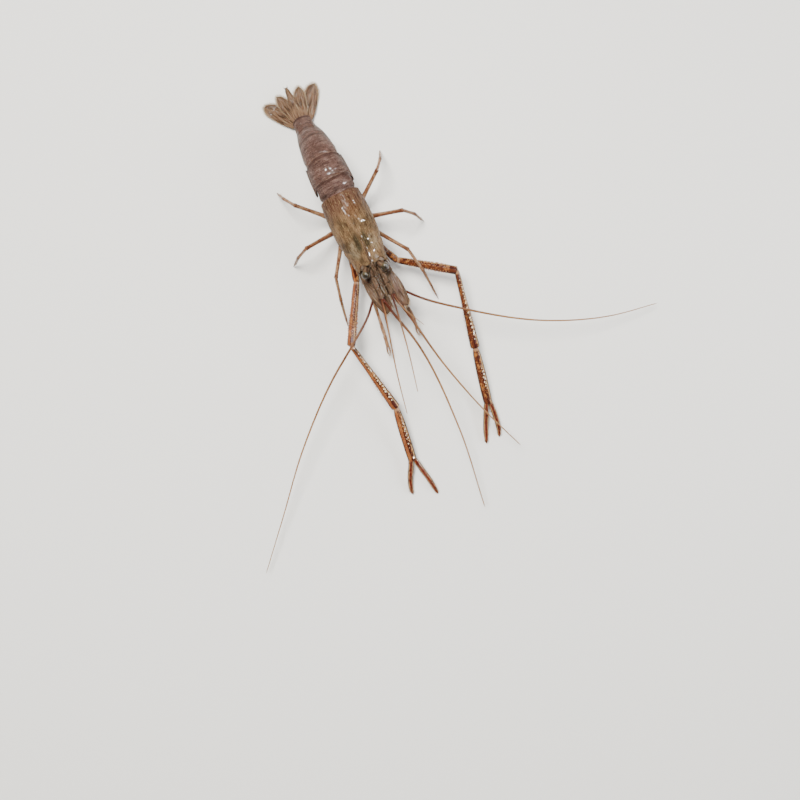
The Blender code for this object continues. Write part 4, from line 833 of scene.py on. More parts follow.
TAIL_START_Z = 15.1
RING_LENGTHS = (3.4, 5.0, 6.0, 4.4, 4.0, 6.4)
RING_SLOPES = (0.0, -5.0, 9.0, 36.0, 50.0, 52.0, 22.0)
RING_STARTS = np.concatenate([[0.0], np.cumsum(RING_LENGTHS)])
RING_HALF_WIDTHS = (4.95, 4.85, 4.6, 4.05, 3.55, 3.0, 2.45)
RING_RISES = (4.5, 4.75, 4.75, 4.1, 3.5, 2.85, 1.9)
FLAP_DROPS = (4.4, 5.5, 5.0, 4.4, 3.7, 2.3)
BELLY_DROPS = (2.7, 2.7, 2.6, 2.3, 2.1, 1.7, 1.3)
FLAP_SHORTEST = 0.5
FLAP_CURVE = 0.14
FLAP_INSET = 0.62
RING_EDGE = math.radians(122)
RING_THICKNESS = 0.26
RING_RIM = 0.14
RING_LAP = 0.6
BIG_FLAP_OVERHANG = 1.25
BIG_FLAP_TOP = 1.6
SLOPE_STEPS = 20


def tail_frame(distance):
    """Middle, backward and upward direction along the tail's middle line: within each ring the slope changes
    evenly, and the line is the running sum of short steps down the slope."""
    share = (np.arange(SLOPE_STEPS) + 0.5) / SLOPE_STEPS
    slope = np.radians(np.concatenate([a + (b - a) * share for a, b in zip(RING_SLOPES, RING_SLOPES[1:])]))
    step = np.repeat(np.asarray(RING_LENGTHS) / SLOPE_STEPS, SLOPE_STEPS)
    along, y, drop = (
        np.concatenate([[0], np.cumsum(part * step)]) for part in (slope**0, np.cos(slope), np.sin(slope))
    )
    distance = np.asarray(distance, float)
    tilt = np.interp(distance, along[1:] - step / 2, slope)
    back = SHIELD_REAR_Y + GAP + np.interp(distance, along, y) + np.minimum(distance, 0.0)
    middle = joined(0.0, back, TAIL_START_Z - np.interp(distance, along, drop))
    return middle, joined(0.0, np.cos(tilt), -np.sin(tilt)), joined(0.0, np.sin(tilt), np.cos(tilt))


def tail_sizes(distance):
    """Half width, rise of the back and drop of the belly, each running smoothly through its rings' values."""
    return (hermite(RING_STARTS, values, distance) for values in (RING_HALF_WIDTHS, RING_RISES, BELLY_DROPS))


def ring_patch(index):
    """A tail ring: over the back the section is half an ellipse, and each side flap drops to a rounded lobe. The
    front edge tucks in under the ring ahead, and the hind edge laps over the next."""
    length, start = RING_LENGTHS[index], RING_STARTS[index]
    s = cosine_steps(64)[:, None]
    turn = cosine_steps(150, -RING_EDGE, RING_EDGE)[None, :]
    side = ease((np.abs(turn) - 1.1) / 0.5)
    lap = (RING_LAP if index < 5 else 0.15) * (1 - 0.7 * side)
    tucked = 0.25 if index else 1.1
    distance = start - tucked + s * (length + tucked + lap)
    share = np.clip((distance - start) / length, 0, 1)
    half, rise, belly = tail_sizes(distance)
    lobe = np.maximum(0.0, 1 - np.abs(2 * share - 1) ** 2.4) ** 0.7
    drop = belly + FLAP_SHORTEST + (FLAP_DROPS[index] - belly - FLAP_SHORTEST) * lobe
    to_big_flap = {0: (1 - share) * length, 2: share * length}.get(index, 9.0)
    inset = FLAP_INSET * np.clip(2 - to_big_flap / (BIG_FLAP_OVERHANG + 0.2), 0, 1) * side
    over = np.abs(turn) <= math.pi / 2
    height = np.where(over, rise * np.cos(turn), drop * np.cos(turn) / abs(math.cos(RING_EDGE)))
    low = np.sign(turn) * half * (1 - FLAP_CURVE * (height / drop) ** 2)
    width = np.where(over, half * np.sin(turn), low) - np.sign(turn) * inset
    tuck = -0.42 * (1 - ease((distance - start) / 1.2)) + 0.07 * ease((share - 0.72) / 0.28)
    tuck = tuck - 0.25 * (index == 0) * (1 - ease((distance - start - 0.1) / 0.7))
    crease = -0.06 * hump(share, 0.3, 0.05) * (1 - side)
    bulge = 1 + 0.02 * np.sin(np.pi * share)
    middle, _, up = tail_frame(distance)
    out = up * np.cos(turn)[..., None] + joined(np.sin(turn), 0.0, 0.0)
    form = middle + up * (height * bulge)[..., None] + joined(width * bulge, 0.0, 0.0)
    lie = joined(s, turn / RING_EDGE, index * 0.37)
    return plate(form + out * (tuck + crease)[..., None], out, RING_THICKNESS, lie, RING_RIM)


def big_flap_patch(sign):
    """The second ring's side flap: a rounded plate that lies over the rings before and behind it, and whose upper
    edge sinks into its own ring."""
    station = cosine_steps(80, -0.995, 0.995)[:, None]
    v = cosine_steps(60, 1.0, -1.0)[None, :]
    length, drop = RING_LENGTHS[1], FLAP_DROPS[1]
    distance = RING_STARTS[1] + length / 2 + station * (length / 2 + BIG_FLAP_OVERHANG)
    half, _, _ = tail_sizes(distance)
    height = (BIG_FLAP_TOP - drop) / 2 + v * (BIG_FLAP_TOP + drop) / 2 * (1 - np.abs(station) ** 2.6) ** 0.5
    width = half * (1 - FLAP_CURVE * (np.minimum(0, height) / drop) ** 2) + 0.36
    width = width - 0.75 * ease((height + 0.4) / 1.8) + 0.08 * (1 - station**2)
    middle, _, up = tail_frame(distance)
    form = middle + up * height[..., None] + joined(sign * width, 0.0, 0.0)
    lie = joined(0.5 + station * 0.49, sign * (0.72 - 0.26 * v), 0.37)
    return plate(form, np.array([sign, 0, 0]), RING_THICKNESS, lie, RING_RIM)


def tail_core():
    """The flesh inside the tail: a ribbed oval tube along its middle line, closed at both ends."""
    distance = cosine_steps(120, 0.1, RING_STARTS[-1])[:, None]
    half, rise, belly = tail_sizes(distance)
    middle, _, up = tail_frame(distance)
    angle = round_angles(48)
    ribs = 1 + 0.05 * np.sin(2 * np.pi * distance / 1.6)
    height = np.where(np.sin(angle) > 0, rise * 0.86, belly * ribs) * np.sin(angle)
    return skin(middle + up * height[..., None] + joined(half * 0.84 * np.cos(angle), 0.0, 0.0))


# Thin blades: the tail fan, the feelers' scales and the swimmerets

BLADE_RIBS = 5
BLADE_RIM = 0.12


def blade_form(path, across, inner, outer, arch, ribs, columns=44):
    """A thin blade's upper face: from its middle path it reaches inner and outer widths sideways, rises by arch
    times 1 - v^2, and carries low ribs, cosines of the place across it."""
    v = cosine_steps(columns, -1.0, 1.0)
    width = np.where(v < 0, inner[:, None], outer[:, None]) * v
    up = unit(np.cross(across, unit(np.gradient(path, axis=0))))
    up = (up * np.where(up[:, 2:] < 0, -1, 1))[:, None]
    rise = arch * (1 - v**2) + ribs * np.cos(v * np.pi * BLADE_RIBS) * (1 - v**2) ** 0.5
    form = path[:, None] + across * width[..., None] + up * rise[:, None]
    return form, up, joined(run_along(path)[:, None], v / 2, 0.0)


def fringe(edge, ways, length, droop=(0, 0, -0.1), tufts=4):
    """Hairs that stand out from an edge (n, 3): tufts of them at each place, fanned a little."""
    ways = np.repeat(np.broadcast_to(unit(ways), edge.shape), tufts, axis=0)
    lengths = np.repeat(np.broadcast_to(length, (len(edge),)), tufts)
    edge = np.repeat(edge, tufts, axis=0)
    spread = random.normal(0, 0.09, edge.shape)
    lengths = lengths * random.uniform(0.75, 1.1, len(edge))
    return spikes(edge + spread * 0.35, ways + spread, lengths, 0.02, droop=droop, sides=3)


SCALE_LENGTH = 9.3
SCALE_WIDTH = 3.5
SCALE_TURNS = {"right": -11.0, "left": 3.0}
SCALE_ROOT = (3.4, -1.3 - GAP, 13.0)


def scale_patches(side):
    """The flat scale beside the feelers: a thick straight outer edge that ends in a thorn, and a thin inner leaf
    with a rounded end that reaches past it. Returns its shell and its fringe."""
    sign, turn = SIDES[side], math.radians(SCALE_TURNS[side])
    ahead = mirror(sign, math.sin(turn), -math.cos(turn), 0.0)
    outwards = mirror(sign, math.cos(turn), math.sin(turn), 0.0)
    root = mirror(sign, *SCALE_ROOT)
    s = cosine_steps(90)
    path = root + ahead * (SCALE_LENGTH * s)[:, None] + np.array([0, 0, 0.25]) * s[:, None]
    end = rounded((s - 0.84) / 0.16, 2.6, 0.0004)
    outer = SCALE_WIDTH * hermite((0, 0.2, 0.8, 1), (0.16, 0.3, 0.3, 0.2), s) * end
    inner = SCALE_WIDTH * hermite((0, 0.2, 0.55, 0.85, 1), (0.16, 0.42, 0.68, 0.58, 0.44), s) * end
    form, up, lie = blade_form(path, outwards, inner, outer, 0.22, 0.035)
    thick = 0.26 + 0.24 * hump(lie[..., 1] * 2, 0.82, 0.16)
    thorn = root + ahead * (SCALE_LENGTH * 0.6) + outwards * (SCALE_WIDTH * 0.26) + [0, 0, 0.12]
    tip = root + ahead * (SCALE_LENGTH * 0.8 + 1.45) + outwards * (SCALE_WIDTH * 0.27) + [0, 0, 0.26]
    run = np.linspace(0, 1, 18)
    shell = [
        plate(form, up, thick, lie, BLADE_RIM),
        tube(thorn + (tip - thorn) * run[:, None], 0.2 * (1 - run**2) + 0.01, around=10),
    ]
    keep = s > 0.22
    hairs = [
        fringe(form[keep, 0] - up[keep, 0] * 0.1, ahead * 0.9 - outwards * 0.7, 1.15),
        fringe(form[s > 0.86, -1] - [0, 0, 0.1], ahead, 0.8),
    ]
    return shell, hairs


SPIKE_LENGTH = 9.2
SPIKE_STATIONS = (0, 0.12, 0.3, 0.5, 0.7, 0.88, 0.97, 1)
SPIKE_WIDTHS = (1.45, 1.55, 1.45, 1.2, 0.95, 0.68, 0.45, 0.06)
FAN_LENGTHS = (9.0, 10.2)
FAN_WIDTHS = (2.7, 3.6)
FAN_ANGLES = (13.0, 33.0)
FAN_LEVELS = ((1.0, 2.55), (-0.3, 1.6), (-1.35, 0.65))  # root over the tail's middle, tip over the floor


def settle(start, low, distance):
    """A quarter sine from start down to low over the spike's length."""
    return start + (low - start) * np.sin(np.minimum(1, distance / SPIKE_LENGTH) * np.pi / 2)


def fan_root(level):
    """Where a blade of the fan starts behind the last ring, a level above the tail's middle."""
    middle, back, up = tail_frame(RING_STARTS[-1])
    return middle + back * 0.2 + up * level


def spike_patches():
    """The tail spike: an arched plate that narrows to a blunt end, two pairs of small spines on its back and two
    pairs at its end."""
    level, low = FAN_LEVELS[0]
    start = fan_root(level)
    s = cosine_steps(90)
    y = start[1] - 1.2 + (SPIKE_LENGTH + 1.2) * s
    path = joined(0.0, y, settle(start[2], low, y - start[1]))
    width = hermite(SPIKE_STATIONS, SPIKE_WIDTHS, s)
    form, rise, lie = blade_form(path, np.array([1, 0, 0]), width, width, 0.42, 0.03)
    groove = -0.1 * hump(lie[..., 1], 0, 0.09) * ease((s - 0.2) / 0.3)[:, None]
    roots, ways, lengths = [], [], []
    for sign in SIDES.values():
        for share, aside in ((0.52, 0.62), (0.72, 0.6)):
            k = int(np.searchsorted(s, share))
            roots.append(path[k] + mirror(sign, width[k] * aside, 0, 0.22))
            ways.append((sign * 0.25, 1.0, 0.25))
            lengths.append(0.55)
        for aside, length in ((0.42, 0.95), (0.22, 0.5)):
            roots.append(path[-8] + mirror(sign, aside, 0, 0.05))
            ways.append((sign * 0.2, 1.0, -0.05))
            lengths.append(length)
    spines = spikes(roots, ways, lengths, 0.085, sides=8, steps=5)
    return [plate(form + rise * groove[..., None], rise, 0.5, lie, 0.24), spines]


def fan_patches(side, k):
    """One blade of the tail fan, k = 0 for the inner one: a leaf with ribs along it and a fringe round its end.
    Returns its shell and its fringe."""
    sign, turn = SIDES[side], math.radians(FAN_ANGLES[k])
    ahead = mirror(sign, math.sin(turn), math.cos(turn), 0.0)
    outwards = mirror(sign, math.cos(turn), -math.sin(turn), 0.0)
    level, low = FAN_LEVELS[k + 1]
    start = fan_root(level) + mirror(sign, 1.0 + 0.5 * k, 0, 0)
    s = cosine_steps(90)
    reach = FAN_LENGTHS[k] * s - 0.9 * (1 - s)
    path = start + ahead * reach[:, None]
    path[:, 2] = settle(start[2], low, reach)
    end = rounded((s - 0.76) / 0.24, 2, 0.0004)
    outer = FAN_WIDTHS[k] * hermite((0, 0.25, 0.8, 1), (0.16, 0.36, 0.43, 0.4), s) * end
    inner = FAN_WIDTHS[k] * hermite((0, 0.25, 0.7, 1), (0.16, 0.4, 0.57, 0.5), s) * end
    form, rise, lie = blade_form(path, outwards, inner, outer, 0.12, 0.04)
    rib = 0.16 * hump(lie[..., 1], 0.02, 0.05) + 0.1 * hump(lie[..., 1], 0.44, 0.04)
    seam = -0.1 * hump(s, 0.78, 0.015)[:, None] * (k == 1)
    form = form + rise * (rib * ease((0.92 - s) / 0.3)[:, None] + seam)[..., None]
    keep = s > 0.3
    share, near_end = ease((s[keep] - 0.3) / 0.5), ease((s[keep] - 0.85) / 0.15)
    hairs = []
    for edge, aside in ((form[keep, 0], -outwards), (form[keep, -1], outwards)):
        way = ahead + aside * (0.5 - 0.45 * near_end)[:, None]
        hairs.append(fringe(edge - [0, 0, 0.08], way, 0.35 + 0.75 * share, droop=(0, 0, 0), tufts=5))
    return [plate(form, rise, 0.24, lie, 0.11)], hairs


SWIMMERET_REACHES = (5.4, 6.0, 5.6, 4.2, 2.8)
SWIMMERET_LEANS = (0.5, 0.7, 0.9, 1.1, 1.2)


def swimmeret_patches(index, side):
    """A paddle under a tail ring: a stout oval root and two leaves that lean back. Returns shell and fringe."""
    sign = SIDES[side]
    distance = RING_STARTS[index] + RING_LENGTHS[index] * 0.5
    half, _, belly = tail_sizes(distance)
    middle, back, up = tail_frame(distance)
    reach = SWIMMERET_REACHES[index]
    size = half / RING_HALF_WIDTHS[0]
    root = middle - up * (belly - 0.3) + mirror(sign, half * 0.38, 0, 0)
    down = unit(back * SWIMMERET_LEANS[index] - up)
    stem = root + down * (reach * 0.36 + 0.6)
    shell, hairs = [limb(root, stem, (0, 0.4, 0.8, 1), np.array([0.5, 0.62, 0.56, 0.4]) * size)], []
    s = cosine_steps(44)
    width = hermite((0, 0.3, 0.6, 0.85, 1), (0.26, 0.46, 0.6, 0.44, 0.02), s) * size
    for offset, length in ((0.42, 1.0), (-0.42, 0.86)):
        start = root + down * (reach * 0.24 + 0.6) + mirror(sign, offset * 0.5, 0, 0)
        spread = unit(down + mirror(sign, offset * 0.34, 0, 0))
        path = start + spread * (reach * 0.74 * length * s)[:, None]
        form, rise, lie = blade_form(path, np.array([1, 0, 0]), width, width, 0.12, 0.02, columns=20)
        shell.append(plate(form, rise, 0.26, lie, BLADE_RIM))
        for edge, aside in ((form[12:, 0], -0.6), (form[12:, -1], 0.6)):
            hairs.append(fringe(edge, spread + [aside, 0, 0], 0.7 * size, tufts=2))
    return shell, hairs


# Limbs

def on_tube(path, radii, shares, turns, flatten=1.0):
    """Places on a tube's skin, the way out of it and the way along it, at shares of its length and turns round it
    (0 on its upper side)."""
    path = np.asarray(path, float)
    s = np.linspace(0, 1, len(path))
    centre, ahead, aside, above = (
        np.stack([np.interp(shares, s, part) for part in grid.T], axis=1) for grid in (path, *frames(path))
    )
    out = aside * np.sin(turns)[:, None] + above * (np.cos(turns) * flatten)[:, None]
    radius = np.interp(shares, s, np.broadcast_to(radii, (len(path),)))
    return centre + out * radius[:, None], unit(out), ahead


def spine_field(a, b, radii, rows, per_row, height, radius, flatten=1.0, start=0.06, end=0.97):
    """Rows of short forward spines on a straight length of limb, each row set half a step from its neighbours."""
    k, row = (grid.ravel() for grid in np.meshgrid(np.arange(per_row), np.arange(len(rows))))
    shares = start + (end - start) * (k + 0.25 + 0.5 * (row % 2)) / per_row
    shares = shares + random.uniform(-0.2, 0.2, len(k)) / per_row
    turns = np.radians(rows)[row] + random.normal(0, 0.05, len(k))
    roots, out, ahead = on_tube(np.linspace(a, b, len(radii)), radii, shares, turns, flatten)
    size = random.uniform(0.7, 1.15, len(k))
    lean = 0.75 if height > radius else 0.0
    return spikes(roots - out * 0.06, out + ahead * lean, height * size, radius * size, sides=7, steps=4,
                  taper=0.5)


def bead_field(a, b, radii, per_row, flatten=1.0):
    """Two rows of low round beads along an arm: blunt domes, as wide as they are high."""
    beads = spine_field(a, b, radii, BEAD_TURNS, per_row, 0.2, 0.23, flatten, start=0.1, end=0.99)
    return marked(beads, beads["lie"][:, 2] + 1.0)


def limb_hairs(path, radii, count, length, turns=(-180, 180), start=0.1, end=0.95):
    """Fine hairs scattered over a limb, leaning towards its tip. A straight limb's path is its two ends."""
    shares = random.uniform(start, end, count)
    angles = np.radians(random.uniform(*turns, count))
    roots, out, ahead = on_tube(path, radii, shares, angles)
    place = np.stack([shares, (angles / (2 * np.pi)) % 1.0], axis=1)
    lengths = length * random.uniform(0.6, 1.1, count)
    return spikes(roots - out * 0.02, out + ahead * 0.9, lengths, 0.018, sides=3, unwrap=place)


ARMS = {
    "right": {
        "knuckle": (-5.2, 0.8, 6.6), "elbow": (-13.6, -13.8, 8.8), "wrist": (-10.1, -33.1, 5.6),
        "palm_end": (-12.1, -47.4, 2.6), "thumb_tip": (-9.9, -58.7, 0.62), "finger_tip": (-16.0, -56.0, 0.62),
    },
    "left": {
        "knuckle": (6.6, 1.4, 6.4), "elbow": (19.2, -8.0, 8.6), "wrist": (15.3, -27.9, 5.6),
        "palm_end": (12.4, -42.4, 2.6), "thumb_tip": (7.5, -52.2, 0.62), "finger_tip": (11.3, -52.0, 0.62),
    },
}
HIP_STATIONS = (0, 0.3, 0.7, 1)
ARM_STATIONS = (0, 0.04, 0.1, 0.3, 0.6, 0.86, 0.94, 0.98, 1)
UPPER_ARM_RADII = (0.5, 0.78, 0.88, 0.92, 1.0, 1.1, 1.12, 1.02, 0.7)
FOREARM_RADII = (0.46, 0.62, 0.68, 0.74, 0.92, 1.16, 1.22, 1.12, 0.8)
PALM_RADII = (0.55, 0.74, 0.92, 1.14, 1.22, 1.2, 1.14, 1.0, 0.7)
PALM_FLATTEN = 0.85
FINGERS = {  # shares of the way to the tip, with steps aside and back, and the radius at stations
    "finger_tip": (
        ((0, 0.42, 1.6), (0, 0.55, 0), (0.5, 0.75, 0), (0.8, 0.55, 0), (1, 0, 0)),
        (0, 0.15, 0.4, 0.6, 0.85, 0.96, 1), (0.6, 0.64, 0.7, 0.68, 0.54, 0.34, 0.04),
    ),
    "thumb_tip": (
        ((0, -0.5, 0.3), (0.22, -0.5, 0), (0.55, -0.45, 0), (0.85, -0.2, 0), (1, 0, 0)),
        (0, 0.06, 0.2, 0.45, 0.85, 0.96, 1), (0.4, 0.6, 0.66, 0.66, 0.52, 0.32, 0.04),
    ),
}
# Turns are degrees round the arm from its top, towards the animal's left.
SPINE_TURNS = (-150, -112, -84, -56, -10, 10, 56, 84, 112, 150)
BEAD_TURNS = (14, 30)
FINGER_HAIR_TURNS = (-130, 130)
GRIP_TEETH = ((0.3, 0.26), (0.36, 0.34), (0.43, 0.26), (0.52, 0.16))  # shares of a finger, and heights


def claw_finger(joints, tip, sign):
    """One finger of a claw, the fixed one on the outer side or the moving one: its path, its radii, and its shell
    with the gripping teeth on the side that faces the other."""
    palm_end, along = joints["palm_end"], unit(joints["palm_end"] - joints["wrist"])
    bows, stations, radii = FINGERS[tip]
    path = run_through([
        palm_end + (joints[tip] - palm_end) * share + mirror(sign, aside, 0, 0) - along * back
        for share, aside, back in bows
    ], 90)
    radii = hermite(stations, radii, np.linspace(0, 1, 90))
    shares, heights = np.transpose(GRIP_TEETH)
    facing = np.full(len(shares), sign * math.pi / 2 * (1 if tip == "thumb_tip" else -1))
    roots, out, _ = on_tube(path, radii, shares, facing)
    teeth = spikes(roots - out * 0.1, out, heights, 0.16, sides=9, steps=5, taper=0.5)
    return path, radii, [marked(tube(path, radii, around=24, flatten=1.1), 1.0), teeth]


def arm_patches(side):
    """One long arm, as shell for each of its nodes, with its spines and its hairs."""
    sign = SIDES[side]
    joints = {name: np.array(place, float) for name, place in ARMS[side].items()}
    knuckle, elbow, wrist, palm_end = (joints[name] for name in ("knuckle", "elbow", "wrist", "palm_end"))
    root = limb_root("arm", sign)
    bend = mirror(sign, 3.5, 8.6, root[2] - 2.2)
    upper = [
        limb(root + [0, 0, 0.5], bend + unit(bend - root) * 0.5, HIP_STATIONS, (0.62, 0.84, 0.9, 0.7)),
        limb(bend, knuckle + unit(knuckle - bend) * 0.3, (0, 0.1, 0.5, 0.9, 1), (0.6, 0.8, 0.76, 0.86, 0.7)),
        limb(knuckle, elbow, ARM_STATIONS, UPPER_ARM_RADII, around=34, count=90),
    ]
    fore = limb(elbow, wrist, ARM_STATIONS, FOREARM_RADII, around=34, count=110)
    palm = limb(wrist, palm_end + unit(palm_end - wrist) * 0.25, ARM_STATIONS, PALM_RADII, PALM_FLATTEN, 36, 90)
    palm = marked(palm, 0.45 * ease(palm["lie"][:, 0] / 30.0))
    fixed, fixed_radii, fixed_shell = claw_finger(joints, "finger_tip", sign)
    moving, moving_radii, moving_shell = claw_finger(joints, "thumb_tip", sign)
    shell = {"upper": upper, "forearm": [fore], "palm": [palm, *fixed_shell], "finger": moving_shell}
    spines = {
        "upper": [spine_field(knuckle, elbow, UPPER_ARM_RADII, SPINE_TURNS, 22, 0.32, 0.17)],
        "forearm": [spine_field(elbow, wrist, FOREARM_RADII, SPINE_TURNS, 30, 0.22, 0.1),
                    bead_field(elbow, wrist, FOREARM_RADII, 14)],
        "palm": [spine_field(wrist, palm_end, PALM_RADII, SPINE_TURNS, 22, 0.18, 0.09, PALM_FLATTEN),
                 bead_field(wrist, palm_end, PALM_RADII, 11, PALM_FLATTEN)],
    }
    hairs = [
        limb_hairs(fixed, fixed_radii, 420, 0.5, FINGER_HAIR_TURNS),
        limb_hairs(moving, moving_radii, 420, 0.5, FINGER_HAIR_TURNS),
        limb_hairs((wrist, palm_end), 1.15, 260, 0.45),
        limb_hairs((elbow, wrist), 0.85, 200, 0.4),
    ]
    return shell, spines, hairs


WALKING_LEGS = {  # bend, knee, ankle and foot
    ("leg3", "left"): ((4.5, 11.6, 4.9), (10.0, 1.7, 12.2), (11.4, -4.6, 9.4), (12.6, -12.0, 0.0)),
    ("leg3", "right"): ((-4.5, 11.8, 4.9), (-9.6, 3.2, 11.4), (-11.0, -2.2, 7.6), (-12.4, -8.6, 0.0)),
    ("leg4", "left"): ((4.9, 15.0, 4.9), (13.0, 11.2, 12.6), (15.8, 9.9, 8.0), (18.0, 8.4, 0.0)),
    ("leg4", "right"): ((-4.9, 15.1, 4.9), (-13.2, 13.0, 12.4), (-16.2, 12.6, 7.9), (-18.6, 12.4, 0.0)),
    ("leg5", "left"): ((4.6, 19.2, 5.0), (11.6, 23.4, 11.8), (13.9, 26.6, 7.8), (15.6, 30.6, 0.0)),
    ("leg5", "right"): ((-4.6, 19.3, 5.0), (-11.2, 24.4, 11.6), (-13.0, 28.0, 7.6), (-14.2, 32.2, 0.0)),
}
# Stations along a length of leg, and its radius at each
THIGH_FORM = ((0, 0.04, 0.3, 0.7, 0.93, 0.98, 1), (0.42, 0.54, 0.53, 0.47, 0.5, 0.54, 0.5))
KNEE_FORM = ((0, 0.08, 0.5, 0.9, 0.97, 1), (0.34, 0.38, 0.37, 0.43, 0.46, 0.42))
SHIN_FORM = ((0, 0.05, 0.4, 0.92, 1), (0.3, 0.35, 0.33, 0.29, 0.26))


def banded(patch, middle, width):
    """Marks a dark band round a limb, at a share of its length, in the z of its lie."""
    run = patch["lie"][:, 0]
    return marked(patch, hump(run / run.max(), middle, width))


def walking_leg_patches(hip, side):
    """A walking leg: hip joint, long thigh, short knee piece, shin and a pointed claw on the floor."""
    root = limb_root(hip, SIDES[side])
    bend, knee, ankle, foot = (np.array(place) for place in WALKING_LEGS[hip, side])
    claw = ankle + (foot - ankle) * 0.74
    thigh = [
        limb(root + [0, 0, 0.5], bend + unit(bend - root) * 0.3, HIP_STATIONS, (0.5, 0.62, 0.66, 0.5)),
        banded(limb(bend, knee, *THIGH_FORM, flatten=1.08, around=22, count=70), 0.96, 0.06),
    ]
    hook = run_through([
        claw - (foot - ankle) * 0.02, claw * 0.5 + foot * 0.5 + [0, 0.12, 0.1], foot + [0, 0, 0.06],
    ], 24)
    hook_radii = hermite((0, 0.15, 0.6, 1), (0.2, 0.21, 0.13, 0.045), np.linspace(0, 1, 24))
    shank = [
        banded(limb(knee, ankle, *KNEE_FORM, count=50), 0.95, 0.08),
        banded(limb(ankle, claw, *SHIN_FORM, count=50), 0.02, 0.08),
        marked(tube(hook, hook_radii, around=14), 0.6),
    ]
    hairs = [
        limb_hairs((bend, knee), 0.52, 46, 0.42),
        limb_hairs((knee, ankle), 0.42, 36, 0.42),
        limb_hairs((ankle, claw), 0.38, 70, 0.5),
    ]
    return thigh, shank, hairs


FIRST_LEGS = {  # elbow, wrist and tip
    "right": ((-3.4, -5.6, 7.4), (-4.6, -14.8, 5.0), (-5.6, -20.2, 3.4)),
    "left": ((3.2, -4.8, 7.6), (4.2, -13.4, 4.6), (3.7, -18.6, 3.2)),
}


def first_leg_patches(side):
    """The slender first leg, with a small nipper whose two fingers carry brushes of hair."""
    sign = SIDES[side]
    root = limb_root("leg1", sign)
    elbow, wrist, tip = (np.array(place) for place in FIRST_LEGS[side])
    bend = mirror(sign, 2.5, 5.4, root[2] - 2.1)
    palm = wrist * 0.5 + tip * 0.5
    stations = (0, 0.08, 0.5, 0.92, 1)
    shell = [
        limb(root + [0, 0, 0.4], bend, HIP_STATIONS, (0.4, 0.5, 0.52, 0.4)),
        limb(bend, elbow, stations, (0.34, 0.46, 0.42, 0.45, 0.34), count=50),
        limb(elbow, wrist, stations, (0.3, 0.4, 0.37, 0.46, 0.36), count=50),
        limb(wrist, palm, stations, (0.3, 0.42, 0.45, 0.42, 0.34)),
    ]
    hairs = [limb_hairs((elbow, wrist), 0.4, 40, 0.4)]
    for aside, radius in ((-0.16, 0.24), (0.2, 0.21)):
        shift = mirror(sign, aside, 0, 0)
        path = run_through([palm + shift * 1.1, palm * 0.5 + tip * 0.5 + shift * 2.0, tip + shift * 0.6], 36)
        radii = radius * (1 - np.linspace(0, 1, 36) ** 2.2) + 0.02
        shell.append(tube(path, radii, around=14))
        hairs.append(limb_hairs(path, radii, 90, 0.55, start=0.3, end=1.0))
    return shell, hairs


JAW_LEG_PLACES = ((1.5, 3.4, 6.9), (2.1, 1.2, 7.3), (2.1, -2.0, 8.8), (1.4, -5.2, 9.8), (0.9, -7.8, 9.4))
JAW_LEG_RADII = (
    (0.4, 0.5, 0.5, 0.36), (0.4, 0.55, 0.52, 0.4), (0.42, 0.54, 0.5, 0.38), (0.38, 0.5, 0.42, 0.3),
    (0.3, 0.38, 0.26, 0.06),
)


def jaw_leg_patches(side):
    """The third jaw leg, folded forward under the mouth: slim joints with a dense fringe low on both sides."""
    sign = SIDES[side]
    places = [limb_root("jaw_leg", sign) + [0, 0, 0.4], *(mirror(sign, *place) for place in JAW_LEG_PLACES)]
    shell, hairs = [], []
    for a, b, radii in zip(places, places[1:], JAW_LEG_RADII):
        shell.append(limb(a, b, (0, 0.2, 0.75, 1), radii, count=34))
        for turns in ((-170, -40), (40, 170)):
            hairs.append(limb_hairs((a, b), max(radii) * 0.9, 60, 0.6, turns))
    return shell, hairs


# Eyes and feelers

EYE_CENTRE = (2.6, -0.2, 16.9)
EYE_RADIUS = 1.1


def eye_patches(side):
    """The stalk, which widens from the head to a collar, and the cornea: a ball whose lie's z is 1 where the
    olive-gold mottle shows and 0 on its dark front."""
    sign = SIDES[side]
    centre = mirror(sign, *EYE_CENTRE)
    root = np.array([centre[0] * 0.5, SHIELD_FRONT_Y + 0.4, centre[2] - 0.55])
    way = unit(centre - root)
    s = np.linspace(0, 1, 40)
    path = root + (centre + way * 0.1 - root) * s[:, None]
    stalk = tube(path, hermite((0, 0.3, 0.6, 0.85, 1), (0.55, 0.7, 0.82, 0.98, 0.6), s), around=30)
    cornea = ball(centre, (EYE_RADIUS,) * 3, around=64, count=48)
    facing = ((cornea["co"] - centre) @ unit(way + [0, 0, 0.35])) / EYE_RADIUS
    return [stalk], [marked(cornea, 1 - ease((facing - 0.25) / 0.65))]


